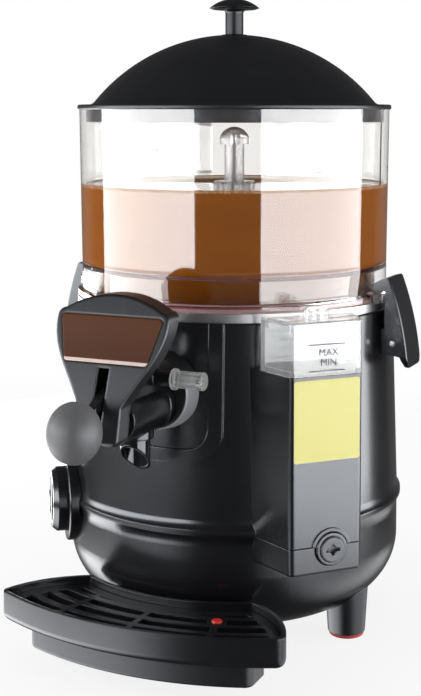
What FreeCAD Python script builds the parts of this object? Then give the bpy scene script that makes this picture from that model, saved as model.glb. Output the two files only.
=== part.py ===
import FreeCAD, Part
import math
import os

from FreeCAD import Vector

# Hot chocolate dispenser: a heated product tank under a clear bowl, a stirrer on a central column,
# a lever tap in front, a water gauge box at the front right and a drip tray that clips on below.
# Millimetres, +Z up, -Y is the tap side.  While a piece is built, the stirrer axis is the Z axis;
# place() then moves every piece so that the origin is the middle of the footprint on the counter.

# ---------------------------------------------------------------- driving dimensions

# housing
BODY_R = 122.5              # outer radius of the straight wall, at the foot of the upper housing
BODY_TAPER = 4.0
BODY_TOP_Z = 236.0
SEAM_Z = 94.0               # joint between the two housings
SEAM_GAP = 0.4
LIP_PROUD = 2.5
LIP_H = 3.0
LIP_BLEND_H = 6.0
WALL = 3.0
BASE_BEND_Z = 64.0          # the straight wall ends here and the bowl-shaped base begins
BASE_FLAT_R = 62.5
BASE_FLAT_Z = 14.0
BASE_HOLE_R = 54.0
TONGUE_T = 2.2
TONGUE_H = 4.0
FIT = 0.3                   # clearance between neighbouring pieces that don't move
SLIDE = 0.06                # radial running clearance of a shaft or pin in its hole
EDGE_R = 1.6                # rounding of moulded edges
PAST = 20.0                 # how far a cut runs past the wall it goes through

# legs
LEG_INSET = 24.8
LEG_ANGLES = (80.0, 145.0, 215.0, 280.0)
LEG_TOP_R = 16.0
LEG_BOTTOM_R = 13.4
LEG_TOP_Z = 46.0
FOOT_H = 3.0
FOOT_R = 12.4

# the screws that hold legs and tray support are one size
SCREW_R = 2.0
SCREW_HEAD_R = 3.6
SCREW_HEAD_H = 2.4
SCREW_L = 16.0
BOSS_R = 5.5
SCREW_SINK = 3.5            # depth of the head in the tray support
LEG_SCREW_LIFT = 3.5        # head above the sloping base, on a boss

# base cover
COVER_T = 2.0
COVER_FLANGE_R = 60.5
COVER_SLOT_W = 4.0
COVER_SLOT_L = 44.0
COVER_SLOT_PITCH = 12.0
COVER_SLOTS = 5

# front pad and panel round the tap
PAD_HALF_W = 42.0
PAD_DROP = 39.5
PAD_CORNER_R = 22.0
PAD_RISE = 1.4
PANEL_RISE = 0.6
PANEL_HALF_W = 32.2
PANEL_DROP = 29.7
PANEL_CORNER_R = 14.0
NOTCH_W = 1.2

# product tank, water tank and the rim between housing and bowl
TANK_INSET = 17.0
TANK_FLOOR_Z = 162.0
STEEL_T = 1.2
RIM_INSET = 1.5
RIM_STAND = 5.8
BOILER_INSET = 6.5
BOILER_DEPTH = 34.0
HEATER_INSET = 26.0
HEATER_TUBE_R = 4.0
HEATER_LEG_L = 22.0
HEATER_GAP_DEG = 30.0

# bowl and its seal
BOWL_INSET = 3.6
BOWL_FLARE = 1.5
BOWL_WALL = 3.0
BOWL_H = 136.2
BOWL_RING_H = 22.2
BOWL_RING_LAP = 1.7
BOWL_FLANGE_INSET = 0.4
BOWL_FLANGE_T = 4.6
SEAL_H = 3.4
SEAL_LAP = 3.5
SEAL_W = 5.0
EAR_L = 6.0
EAR_HALF_W = 21.0
EAR_T = 7.6

# lid
DOME_R = 133.6              # radius of the spherical dome
DOME_H = 55.4
BRIM_PROUD = 1.4
BRIM_T = 3.6
BRIM_W = 12.7
LID_T = 2.6
SKIRT_H = 9.0
SKIRT_GAP = 1.8
SKIRT_T = 2.2
KNOB_STEM_R = 6.7
KNOB_CAP_R = 18.5
KNOB_STEM_H = 18.2
KNOB_CAP_RIM_T = 1.4
KNOB_CAP_H = 8.4
KNOB_SEAT_H = 4.0
KNOB_SCREW_R = 2.0
KNOB_SCREW_HEAD_R = 5.0
KNOB_SCREW_HEAD_H = 2.0
KNOB_SCREW_L = 14.0

# stirrer and its drive
COLUMN_R = 5.8
COLUMN_BORE_R = 4.9
COLUMN_DROP = 26.0
SHAFT_R = 3.0
BUSH_H = 12.0
SLEEVE_GAP = 0.5
SLEEVE_T = 1.2
CAP_R = 11.2
CAP_H = 13.0
STAR_DROP = 34.0
STAR_H = 7.0
STAR_R = 15.5
STAR_PETALS = 10
BLADE_T = 2.4
BLADE_H = 34.0
BLADE_TOP_INSET = 22.0
BLADE_FLOOR_GAP = 3.0
BLADE_WALL_GAP = 6.0
BRACKET_T = 2.5
BRACKET_INSET = 14.0
BRACKET_DROP = 8.0
PILLAR_R = 4.5
PILLAR_INSET = 14.0
PILLARS = 3
GEARBOX_R = 34.0
GEARBOX_H = 30.0
MOTOR_R = 26.0
MOTOR_H = 42.0
SAFETY_R = 7.5              # snap-action cut-out under the water tank
SAFETY_H = 5.0
SAFETY_WALL_GAP = 34.4      # from the tank wall to the cut-out
SAFETY_SIDE = 20.0
SAFETY_LEAD_L = 2.5
SAFETY_LEAD_PITCH = 4.4

# gauge box
GAUGE_DEG = 46.5            # its direction, from the tap towards the right side
GAUGE_STAND = 33.8
GAUGE_HALF_W = 25.7
GAUGE_FLARE = 0.2468        # half width gained for each millimetre towards the body
GAUGE_CORNER_R = 4.0
GAUGE_BOTTOM_Z = 76.0
GAUGE_SPLIT_Z = 206.5       # top of the black cover, foot of the clear window
GAUGE_TOP_STAND = 3.6
GAUGE_WALL = 2.5
GAUGE_CLEAR_WALL = 2.2
GAUGE_BACK_STAND = 3.1
GAUGE_LID_T = 2.0
GAUGE_LID_LIP = 0.7
GAUGE_LID_SKIRT = 4.0
GAUGE_KNOB_W = 17.0
GAUGE_KNOB_H = 8.4
GAUGE_KNOB_T = 3.0
GAUGE_KNOB_RIBS = 3
LABEL_T = 0.4
LABEL_BOTTOM_Z = 150.5
LABEL_TOP_Z = 204.0
LABEL_HALF_W = 23.6
PIPE_Z = 136.0
PIPE_R = 6.0
PIPE_BORE_R = 4.0
DRAIN_DROP = 2.0
DRAIN_OFFSET = 3.2          # sideways from the middle of the gauge box
DRAIN_COLLAR_R = 11.2
DRAIN_COLLAR_STAND = 2.0
DRAIN_PLUG_R = 8.5
DRAIN_PLUG_STAND = 3.6
DRAIN_SHANK_R = 6.0
DRAIN_ARCH_T = 2.4
KEYHOLE_R = 2.7
KEY_SLOT_W = 2.2
KEY_SLOT_L = 10.0
KEY_DEPTH = 3.5

# temperature dial
DIAL_DEG = -53.0
DIAL_DROP = 2.0
DIAL_BEZEL_R = 30.6
DIAL_BEZEL_STAND = 5.5
DIAL_KNOB_R = 23.5
DIAL_KNOB_STAND = 10.6
DIAL_CHAMFER = 3.0
DIAL_CHAMFER_H = 3.6
DIAL_GRIP_R = 15.0
DIAL_GRIP_D = 3.0
DIAL_BAR_W = 6.0
DIAL_SPINDLE_R = 3.0
THERMOSTAT_INSET = 8.5
THERMOSTAT_D = 22.0
THERMOSTAT_HALF = 15.0

# rocker switch and lamp, on the left side behind the dial
SWITCH_DEG = -104.0
SWITCH_Z = 115.5
SWITCH_W = 13.0
SWITCH_H = 20.0
SWITCH_D = 20.0
SWITCH_WALL = 1.2
SWITCH_WELL_D = 11.0
SWITCH_FRAME = 2.2
SWITCH_FRAME_T = 1.8
ROCKER_TILT = 6.0
ROCKER_GAP = 0.5
ROCKER_PIVOT_R = 1.2
ROCKER_RISE = 3.4
LAMP_DEG = -118.0
LAMP_Z = 115.5
LAMP_R = 4.4
LAMP_RIM_R = 6.2
LAMP_RIM_T = 1.4
LAMP_TOP = 3.4
LAMP_BARREL_L = 12.0

# cable inlet at the back
GLAND_Z = 80.0
GLAND_R = 8.0
GLAND_BORE_R = 3.7
GLAND_NUT_R = 11.0
GLAND_NUT_T = 5.0
GLAND_STAND = 17.0

# latches
LATCH_HALF_W = 16.5
LATCH_CHEEK_T = 2.0
LATCH_PIN_STAND = 6.3
LATCH_PIN_DROP = 22.4
LATCH_PIN_R = 1.8
LATCH_KNUCKLE_R = 5.0
LATCH_TOP_RISE = 17.7
LATCH_TOP_STAND = 4.2
LATCH_TIP_STAND = 11.2
LATCH_TIP_DROP = 16.6
LATCH_SKIN_T = 3.0
LATCH_TIP_R = 10.0
LATCH_HOOK_L = 8.4
LATCH_HOOK_T = 6.4
LATCH_EAR_HALF_W = 11.0

# tap
TAP_RISE = 19.0
TAP_R = 16.8
TAP_SHELL_RISE = 2.9        # outside of the barrel above its bore
TAP_BACK_STAND = 4.5
TAP_BARREL_L = 63.0
TAP_BORE_R = 9.9
TAP_CHAMBER_R = 12.2
TAP_SEAT_D = 7.0
TAP_RING_D = 4.5
TAP_CAP_R = 13.4
TAP_CAP_T = 5.0
TAP_NUT_R = 27.0
TAP_NUT_FRONT_R = 25.0
TAP_NUT_T = 9.0
TAP_NUT_RISE = 9.4
OUTLET_R = 9.7
OUTLET_BORE_R = 8.2
SPOUT_STAND = 31.0
SPOUT_R = 9.7
SPOUT_WALL = 1.7
SPOUT_DROP = 38.4
SPOUT_CUT_DEG = 46.0
PIVOT_STAND = 23.0
PIVOT_RISE = 23.6
YOKE_GAP = 8.6              # half the space between the two yoke plates
YOKE_T = 3.0
YOKE_WEB_T = 3.0
YOKE_RISE = 36.4
LEVER_HUB_R = 6.6
LEVER_SIDE_GAP = 0.4
LEVER_T = 6.0
LEVER_ARM_H = 7.0
LEVER_GROOVE_GAP = 1.0      # room for the arm in the top of the barrel
TINE_W = 3.0
TINE_T = 2.8
TINE_TIP_R = 3.6
LIFT_DEG = 17.0
KNEE_STAND = 6.0
KNEE_DROP = 3.0
BALL_STAND = 38.0
BALL_DROP = 16.0
BALL_R = 16.8
BALL_HALF_H = 18.9
BALL_BOSS_R = 4.2
PLUNGER_HEAD_R = 9.5
PLUNGER_NECK_R = 4.0
PLUNGER_COLLAR_R = 6.5
PLUNGER_COLLAR_T = 2.0
PLUNGER_GROOVE = 8.0
PLUNGER_STEM_R = 3.6
PLUNGER_STEM_INSET = 6.0
GUIDE_L = 8.0               # guide inside the tap cap
O_RING_R = 1.0
SPRING_WIRE_R = 0.6
SPRING_R = 5.2
SPRING_COILS = 6

# pull-out pivot pin
PIN_R = 3.0
PIN_FLANGE_X = 24.0
PIN_FLANGE_R = 7.0
PIN_FLANGE_T = 2.0
PIN_GRIP_L = 17.0
PIN_GRIP_R = 5.0
PIN_RIB_R = 0.75
PIN_RIBS = 12
PIN_CAP_T = 3.0
PIN_CAP_R = 5.9

# tap cover, a shield-shaped shell that leans back at its top
SHIELD_INSET = 3.0
SHIELD_RISE = 69.0
SHIELD_LEAN = 0.354         # how far the face comes forward for each millimetre down
SHIELD_TOP_RISE = 81.2
SHIELD_SHOULDER_RISE = 71.8
SHIELD_HALF_W = 39.2
SHIELD_WAIST_RISE = 17.5
SHIELD_WAIST_HALF_W = 15.5
SHIELD_FOOT_DROP = 6.5
SHIELD_FOOT_HALF_W = 16.8
SHIELD_EDGE_R = 1.2
SHIELD_D = 14.5
SHIELD_WALL = 2.6
SHIELD_CORNER_R = 5.0
SHIELD_SLOT_HALF_W = 3.9
SHIELD_SLOT_RISE = 37.4
SHIELD_SLOT_FOOT = 2.5
SIGN_RISE = 68.2
SIGN_H = 28.0
SIGN_TOP_HALF_W = 36.0
SIGN_BOTTOM_HALF_W = 29.0
SIGN_T = 1.8
SIGN_CORNER_R = 2.4
SIGN_EDGE_R = 0.7
SIGN_RECESS = 1.0
SHIELD_SCREW_RISE = 51.0
SHIELD_SCREW_R = 1.6
SHIELD_SCREW_HEAD_R = 3.0
SHIELD_BOSS_R = 4.0

# drip tray
TRAY_REACH = 61.5
TRAY_ARC_R = 228.3
TRAY_HALF_W = 105.0
TRAY_BACK_GAP = 1.2         # between tray and housing
TRAY_SIDE_MID_X = 89.5
TRAY_SIDE_STAND = 5.5
TRAY_SIDE_END_X = 62.0
TRAY_CORNER_R = 7.0
TRAY_BOTTOM_R = 5.5
TRAY_TOP_Z = 49.2
TRAY_H = 20.2
TRAY_WALL = 3.0
TRAY_FLOOR_T = 2.4
GRILLE_DROP = 5.4           # from the tray's edge down to the grille
GRILLE_T = 5.0
GRILLE_GAP = 0.6
GRILLE_FRAME = 7.0
GRILLE_BAR_PITCH = 12.8
GRILLE_SLOT_W = 8.0
GRILLE_RIB_W = 4.2
GRILLE_RIBS = 3
GRILLE_RIB_DEG = 14.9
GRILLE_LEG_FRONT_X = 80.0
GRILLE_LEG_BACK_X = 66.0
GRILLE_LEG_R = 2.6
FLOAT_X = 48.4
FLOAT_STAND = 14.5
FLOAT_R = 3.6
FLOAT_EYE_R = 6.4
FLOAT_FOOT_R = 6.0
FLOAT_FOOT_H = 3.0
SUPPORT_HALF_W = 82.0
SUPPORT_INSET = 10.0
SUPPORT_DROP = 1.0
SUPPORT_NECK_HALF_W = 46.0
SUPPORT_NECK_INSET = 36.5
SUPPORT_SCREW_X = 34.0
SUPPORT_SCREW_INSET = 30.5

# ---------------------------------------------------------------- values worked out from them

BODY_TOP_R = BODY_R - BODY_TAPER
LIP_R = BODY_R + LIP_PROUD
LEG_PCR = BODY_R - LEG_INSET
TANK_R = BODY_TOP_R - TANK_INSET
RIM_R = BODY_TOP_R - RIM_INSET
RIM_TOP_Z = BODY_TOP_Z + RIM_STAND
BOILER_R = BODY_TOP_R - BOILER_INSET
BOILER_FLOOR_Z = TANK_FLOOR_Z - BOILER_DEPTH
HEATER_RING_R = BOILER_R - HEATER_INSET
BOWL_R = RIM_R - BOWL_INSET
BOWL_RIM_R = BOWL_R + BOWL_FLARE
BOWL_RIM_Z = RIM_TOP_Z + BOWL_H
BOWL_RING_TOP_Z = RIM_TOP_Z + BOWL_RING_H
BOWL_RING_R_IN = TANK_R + BOWL_RING_LAP
BOWL_FLANGE_R = RIM_R - BOWL_FLANGE_INSET
SEAL_R_IN = TANK_R + SEAL_LAP
SEAL_R_OUT = SEAL_R_IN + SEAL_W
EAR_R = BOWL_FLANGE_R + EAR_L
BRIM_R = BOWL_RIM_R + BRIM_PROUD
DOME_FOOT_R = BRIM_R - BRIM_W
DOME_TOP_Z = BOWL_RIM_Z + DOME_H
KNOB_CAP_Z = DOME_TOP_Z + KNOB_STEM_H
KNOB_TOP_Z = KNOB_CAP_Z + KNOB_CAP_H
COLUMN_TOP_Z = BOWL_RIM_Z - COLUMN_DROP
STAR_Z = COLUMN_TOP_Z - STAR_DROP
BRACKET_R = BOILER_R - BRACKET_INSET
PILLAR_PCR = BRACKET_R - PILLAR_INSET
GAUGE_FACE = BODY_R + GAUGE_STAND
GAUGE_BACK = BODY_R + GAUGE_BACK_STAND
GAUGE_TOP_Z = BODY_TOP_Z + GAUGE_TOP_STAND
DRAIN_Z = SEAM_Z - DRAIN_DROP
DIAL_Z = SEAM_Z - DIAL_DROP
DIAL_BEZEL_FACE = BODY_R + DIAL_BEZEL_STAND
DIAL_KNOB_FACE = DIAL_BEZEL_FACE + DIAL_KNOB_STAND
THERMOSTAT_FACE = BODY_R - THERMOSTAT_INSET
GLAND_REACH = BODY_R + GLAND_STAND
LATCH_PIN_X = BODY_R + LATCH_PIN_STAND
LATCH_PIN_Z = BODY_TOP_Z - LATCH_PIN_DROP
LATCH_TOP_Z = RIM_TOP_Z + LATCH_TOP_RISE
LATCH_TOP_X = EAR_R + LATCH_TOP_STAND
LATCH_TIP_X = LATCH_PIN_X + LATCH_TIP_STAND
LATCH_TIP_Z = LATCH_PIN_Z - LATCH_TIP_DROP
LATCH_HOOK_X = EAR_R - LATCH_HOOK_L
TAP_Z = TANK_FLOOR_Z + TAP_RISE
TAP_SHELL_Z = TAP_Z + TAP_SHELL_RISE
TAP_SHELL_LOW_Z = TAP_SHELL_Z - TAP_R
PAD_BOTTOM_Z = TAP_Z - PAD_DROP
PANEL_BOTTOM_Z = TAP_Z - PANEL_DROP
TAP_BACK_Y = -BODY_R - TAP_BACK_STAND
TAP_FRONT_Y = TAP_BACK_Y - TAP_BARREL_L
TAP_SEAT_Y = TAP_BACK_Y - TAP_SEAT_D
TAP_RING_Y = TAP_SEAT_Y - TAP_RING_D
SPOUT_Y = TAP_BACK_Y - SPOUT_STAND
SPOUT_LOW_Z = TAP_Z - SPOUT_DROP
PIVOT_Y = TAP_BACK_Y - PIVOT_STAND
PIVOT_Z = TAP_Z + PIVOT_RISE
YOKE_TOP_Z = PIVOT_Z + YOKE_RISE
KNEE_Y = TAP_FRONT_Y - KNEE_STAND
KNEE_Z = PIVOT_Z - KNEE_DROP
BALL_Y = KNEE_Y - BALL_STAND
BALL_Z = KNEE_Z - BALL_DROP
PLUNGER_STEM_END_Y = TAP_FRONT_Y + PLUNGER_STEM_INSET
SHIELD_Y = TAP_FRONT_Y + SHIELD_INSET
SHIELD_Z = TAP_Z + SHIELD_RISE
SHIELD_TOP_Z = TAP_Z + SHIELD_TOP_RISE
SHIELD_SHOULDER_Z = TAP_Z + SHIELD_SHOULDER_RISE
SHIELD_WAIST_Z = TAP_Z + SHIELD_WAIST_RISE
SHIELD_BOTTOM_Z = TAP_Z - SHIELD_FOOT_DROP
SHIELD_SLOT_TOP_Z = TAP_Z + SHIELD_SLOT_RISE
SHIELD_SLOT_BOTTOM_Z = TAP_Z + SHIELD_SLOT_FOOT
SIGN_TOP_Z = TAP_Z + SIGN_RISE
SIGN_BOTTOM_Z = SIGN_TOP_Z - SIGN_H
SHIELD_SCREW_Z = TAP_Z + SHIELD_SCREW_RISE
TRAY_ARC_Y = TRAY_ARC_R - BODY_R - TRAY_REACH
TRAY_SIDE_MID = (TRAY_SIDE_MID_X, -BODY_R - TRAY_SIDE_STAND)
TRAY_BOTTOM_Z = TRAY_TOP_Z - TRAY_H
FLOAT_Y = -BODY_R - FLOAT_STAND
SUPPORT_BOTTOM_Z = BASE_FLAT_Z - SUPPORT_DROP
SUPPORT_NECK_Y = SUPPORT_NECK_INSET - BODY_R
SUPPORT_SCREW_Y = SUPPORT_SCREW_INSET - BODY_R
SEAM_LOW = SEAM_Z - SEAM_GAP / 2
SEAM_HIGH = SEAM_Z + SEAM_GAP / 2
WALL_FOOT_Z = SEAM_HIGH + LIP_H + LIP_BLEND_H      # the tapered wall starts above the lip
LID_Z = BOWL_RIM_Z
BOWL_Z = RIM_TOP_Z + FIT
BALL_FRONT = -BALL_Y + BALL_R
AXIS_Y = (BALL_FRONT - GLAND_REACH) / 2      # puts the origin in the middle of the footprint
PUSH_ARM = PIVOT_Z - TAP_Z                   # lever pivot to plunger
Z_AXIS = Vector(0, 0, 1)
ORIGIN = Vector(0, 0, 0)


# ---------------------------------------------------------------- helpers

def rz(r, z):
    return Vector(r, 0, z)


def xy(x, y):
    return Vector(x, y, 0)


def yz(y, z):
    return Vector(0, y, z)


def face(plane, start, *steps):
    """A flat face.  A step is a point for a line, (middle, end) for an arc, or a list of points
    for a smooth curve.  The outline closes itself with a line."""
    edges = []
    here = plane(*start)
    for step in steps:
        if isinstance(step, list):
            points = [here] + [plane(*p) for p in step]
            curve = Part.BSplineCurve()
            curve.interpolate(points)
            edges.append(curve.toShape())
            here = points[-1]
        elif isinstance(step[0], tuple):
            middle, end = plane(*step[0]), plane(*step[1])
            edges.append(Part.Arc(here, middle, end).toShape())
            here = end
        else:
            end = plane(*step)
            edges.append(Part.makeLine(here, end))
            here = end
    if here.distanceToPoint(plane(*start)) > 1e-6:
        edges.append(Part.makeLine(here, plane(*start)))
    return Part.Face(Part.Wire(edges))


def spin(*outline):
    """Solid of revolution about the stirrer axis, from an outline of (radius, height)."""
    return face(rz, *outline).revolve(ORIGIN, Z_AXIS, 360)


def crown(radius, z, top):
    """Arc step from the rim of a shallow dome (radius, z) to its top on the axis."""
    rise = top - z
    ball_r = (radius ** 2 + rise ** 2) / (2 * rise)
    half = math.atan2(radius, ball_r - rise) / 2
    return (ball_r * math.sin(half), top - ball_r * (1 - math.cos(half))), (0, top)


def rod(radius, start, end):
    """Round bar between two points."""
    run = end - start
    return Part.makeCylinder(radius, run.Length, start, run)


def tube(r_out, r_in, z0, z1):
    return Part.makeCylinder(r_out, z1 - z0, Vector(0, 0, z0)).cut(
        Part.makeCylinder(r_in, z1 - z0, Vector(0, 0, z0)))


def block(x0, x1, y0, y1, z0, z1):
    return Part.makeBox(x1 - x0, y1 - y0, z1 - z0, Vector(x0, y0, z0))


def turned(shape, degrees):
    """The shape turned about the stirrer axis; 0 is the tap side, 90 the right side."""
    copy = shape.copy()
    copy.rotate(ORIGIN, Z_AXIS, degrees)
    return copy


def moved(shape, x=0.0, y=0.0, z=0.0):
    copy = shape.copy()
    copy.translate(Vector(x, y, z))
    return copy


def mirrored(shape):
    return shape.mirror(ORIGIN, Vector(1, 0, 0))


def fused(first, *others):
    return first.fuse(list(others)).removeSplitter()


def place(shape, node):
    """Writes one piece, or a group of equal separate pieces, to its file."""
    solids = [moved(s, y=AXIS_Y) for s in shape.Solids]
    result = solids[0] if len(solids) == 1 else Part.makeCompound(solids)
    if not result.isValid():
        print("not valid:", node)
    result.exportStep("parts/%s.step" % node)


def edges_where(shape, test):
    return [e for e in shape.Edges if test(e.BoundBox, e)]


# ---------------------------------------------------------------- housing

def base_curve(inset, samples=7):
    """Quarter ellipse of the bowl-shaped base, from the straight wall in to the flat bottom."""
    half_r = BODY_R - BASE_FLAT_R - inset
    half_z = BASE_BEND_Z - BASE_FLAT_Z - inset
    points = []
    for i in range(1, samples + 1):
        a = math.radians(90.0 * i / samples)
        points.append((BASE_FLAT_R + half_r * math.cos(a), BASE_BEND_Z - half_z * math.sin(a)))
    return points


def wall_r(z):
    """Outer radius of the upper housing's tapered wall at a height."""
    share = (z - WALL_FOOT_Z) / (BODY_TOP_Z - WALL_FOOT_Z)
    return BODY_R + (BODY_TOP_R - BODY_R) * share


def housing_envelope(gap):
    """Everything inside the housings' outer surface, grown by a gap."""
    outer = [(BODY_R + gap, BASE_BEND_Z)] + base_curve(-gap)
    return spin((0, BODY_TOP_Z), (BODY_TOP_R + gap, BODY_TOP_Z), (BODY_R + gap, WALL_FOOT_Z),
                (LIP_R + gap, SEAM_HIGH + LIP_H), (LIP_R + gap, SEAM_LOW - LIP_H),
                (BODY_R + gap, SEAM_LOW - LIP_H - LIP_BLEND_H), outer[0], outer[1:],
                (0, BASE_FLAT_Z - gap))


def gauge_outline(inset, back):
    """Plan of the gauge box facing the tap side, from its flat face back to a depth."""
    front = GAUGE_FACE - inset
    slant = math.sqrt(1 + GAUGE_FLARE ** 2)

    def half_w(depth):
        return GAUGE_HALF_W + (GAUGE_FACE - depth) * GAUGE_FLARE - inset * slant

    corner = max(GAUGE_CORNER_R - inset, 1.0)
    plan = face(xy, (-half_w(front), -front), (half_w(front), -front),
                (half_w(back), -back), (-half_w(back), -back))
    return plan, corner, -front


def gauge_prism(inset, back, z0, z1):
    plan, corner, front_y = gauge_outline(inset, back)
    solid = plan.extrude(Vector(0, 0, z1 - z0))
    upright = edges_where(solid, lambda b, e: b.ZLength > 1 and b.YMax < front_y + 0.1)
    return moved(solid.makeFillet(corner, upright), z=z0)


def wall_core():
    """Solid that reaches to the middle of the housing wall, to trim what joins it."""
    half = WALL / 2
    return spin((0, BODY_TOP_Z), (BODY_TOP_R - half, BODY_TOP_Z), (BODY_R - half, SEAM_HIGH + LIP_H),
                (BODY_R - half, GAUGE_BOTTOM_Z - WALL), (0, GAUGE_BOTTOM_Z - WALL))


def gauge_shell(z0, z1, floor):
    """Moulded shell of the gauge box between two heights, with or without a floor."""
    outer = gauge_prism(0, BODY_TOP_R - WALL - 10, z0, z1)
    if floor:
        low = edges_where(outer, lambda b, e: b.ZMax < z0 + 0.1 and b.YMax < -BODY_TOP_R)
        outer = outer.makeFillet(EDGE_R, low)
    inner = gauge_prism(GAUGE_WALL, BODY_TOP_R - WALL - 12, z0 + (GAUGE_WALL if floor else -1), z1 + 1)
    return outer.cut(inner).cut(wall_core())


def front_outline(half_w, bottom_z, corner, grow=0.0):
    """Outline on the front, open at the top, swept through the wall as a cutter."""
    w = half_w + grow
    low = bottom_z - grow
    top = BODY_TOP_Z + WALL
    c = corner + grow
    k = c * (1 - math.sqrt(0.5))
    flat = face(lambda x, z: Vector(x, 0, z), (-w, top), (-w, low + c), ((-w + k, low + k), (-w + c, low)),
                (w - c, low), ((w - k, low + k), (w, low + c)), (w, top))
    return flat.extrude(Vector(0, -BODY_R - 30, 0))


def drain_bore(radius):
    """Hole through the gauge box face for the drain collar."""
    return rod(radius, Vector(DRAIN_OFFSET, -GAUGE_FACE - PAST, DRAIN_Z),
               Vector(DRAIN_OFFSET, -GAUGE_BACK - GAUGE_CLEAR_WALL - 4, DRAIN_Z))


def pipe_bore(radius):
    return rod(radius, Vector(0, -GAUGE_BACK - 8, PIPE_Z), Vector(0, -BOILER_R + 8, PIPE_Z))


def dial_bore(radius):
    return rod(radius, Vector(0, -DIAL_KNOB_FACE - 5, DIAL_Z), Vector(0, -THERMOSTAT_FACE + 5, DIAL_Z))


def make_upper_housing():
    tongue_r = LIP_R - WALL
    shell = spin((LIP_R, SEAM_HIGH), (LIP_R, SEAM_HIGH + LIP_H),
                 ((BODY_R + 0.7, WALL_FOOT_Z - LIP_BLEND_H / 2), (BODY_R, WALL_FOOT_Z)),
                 (BODY_TOP_R, BODY_TOP_Z - EDGE_R),
                 ((BODY_TOP_R - EDGE_R * 0.3, BODY_TOP_Z - EDGE_R * 0.3), (BODY_TOP_R - EDGE_R, BODY_TOP_Z)),
                 (BOILER_R + 0.6, BODY_TOP_Z), (BOILER_R + 0.6, BODY_TOP_Z - WALL),
                 (BODY_TOP_R - WALL, BODY_TOP_Z - WALL), (BODY_R - WALL, WALL_FOOT_Z),
                 (tongue_r, SEAM_HIGH + TONGUE_H + FIT), (tongue_r, SEAM_HIGH))
    pad = spin((BODY_TOP_R - WALL / 2, BODY_TOP_Z), (BODY_TOP_R + PAD_RISE, BODY_TOP_Z),
               (BODY_R + PAD_RISE, WALL_FOOT_Z), (BODY_R - WALL / 2, WALL_FOOT_Z))
    pad = pad.common(front_outline(PAD_HALF_W, PAD_BOTTOM_Z, PAD_CORNER_R))
    box = turned(gauge_shell(SEAM_HIGH, GAUGE_SPLIT_Z, False), GAUGE_DEG)
    arch = drain_arch()
    body = fused(shell, pad, box, arch)
    body = body.cut(front_outline(PANEL_HALF_W, PANEL_BOTTOM_Z, PANEL_CORNER_R, FIT))
    notch = block(-NOTCH_W / 2, NOTCH_W / 2, -BODY_R - PAD_RISE - 1, -BODY_R - PAD_RISE + 1.3,
                  PAD_BOTTOM_Z, PANEL_BOTTOM_Z)
    body = body.cut(notch)
    body = body.cut(turned(drain_bore(DRAIN_COLLAR_R + FIT), GAUGE_DEG))
    body = body.cut(turned(pipe_bore(PIPE_R + FIT), GAUGE_DEG))
    body = body.cut(turned(dial_bore(DIAL_SPINDLE_R + 2), DIAL_DEG))
    body = body.cut(turned(switch_opening(), SWITCH_DEG))
    body = body.cut(turned(lamp_bore(LAMP_R + FIT), LAMP_DEG))
    return body


def drain_arch():
    """Raised half ring over the drain, moulded on the upper housing."""
    start = Vector(DRAIN_OFFSET, -GAUGE_FACE - DRAIN_COLLAR_STAND * 0.6, DRAIN_Z)
    end = Vector(DRAIN_OFFSET, -GAUGE_FACE + GAUGE_WALL / 2, DRAIN_Z)
    ring = rod(DRAIN_COLLAR_R + FIT + DRAIN_ARCH_T, start, end)
    upper = block(-60, 60, -GAUGE_FACE - 10, -GAUGE_FACE + 10, SEAM_HIGH, SEAM_HIGH + 40)
    return turned(ring.common(upper), GAUGE_DEG)


def make_lower_housing():
    tongue_r = LIP_R - WALL - FIT
    inner_r = BODY_R - WALL
    curve_out = base_curve(0)
    curve_in = base_curve(WALL)
    shell = spin((LIP_R - 0.7, SEAM_LOW), ((BODY_R + 0.5, SEAM_LOW - 4.0), (BODY_R, SEAM_LOW - 9.0)),
                 (BODY_R, BASE_BEND_Z), curve_out, (BASE_HOLE_R, BASE_FLAT_Z),
                 (BASE_HOLE_R, BASE_FLAT_Z + WALL), curve_in[-1], list(reversed(curve_in[:-1])) +
                 [(inner_r, BASE_BEND_Z)], (inner_r, SEAM_LOW - 4.0),
                 (tongue_r - TONGUE_T, SEAM_LOW - 2.0), (tongue_r - TONGUE_T, SEAM_LOW + TONGUE_H),
                 (tongue_r, SEAM_LOW + TONGUE_H), (tongue_r, SEAM_LOW))
    box = turned(gauge_shell(GAUGE_BOTTOM_Z, SEAM_LOW, True), GAUGE_DEG)
    bosses = [turned(leg_boss(), angle) for angle in LEG_ANGLES]
    bosses += [support_boss(x) for x in (-SUPPORT_SCREW_X, SUPPORT_SCREW_X)]
    body = fused(shell, box, *bosses)
    tongue_gap = gauge_prism(-FIT, BODY_TOP_R - WALL - 10, SEAM_LOW, SEAM_LOW + TONGUE_H + WALL)
    body = body.cut(turned(tongue_gap, GAUGE_DEG))
    body = body.cut(turned(drain_bore(DRAIN_COLLAR_R + FIT), GAUGE_DEG))
    body = body.cut(turned(dial_bore(DIAL_SPINDLE_R + 2), DIAL_DEG))
    body = body.cut(gland_bore(GLAND_R + FIT))
    for angle in LEG_ANGLES:
        body = body.cut(turned(leg_screw(SCREW_R + FIT, 0), angle))
    for x in (-SUPPORT_SCREW_X, SUPPORT_SCREW_X):
        body = body.cut(support_screw(x, SCREW_R + FIT, 0))
    return body


def leg_boss():
    """Round boss inside the base that the leg's screw head rests on."""
    head = leg_screw(SCREW_R, SCREW_HEAD_R).BoundBox
    boss = rod(BOSS_R, Vector(0, -LEG_PCR, BASE_FLAT_Z), Vector(0, -LEG_PCR, head.ZMax - SCREW_HEAD_H))
    return boss.common(housing_envelope(-WALL / 2))


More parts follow.
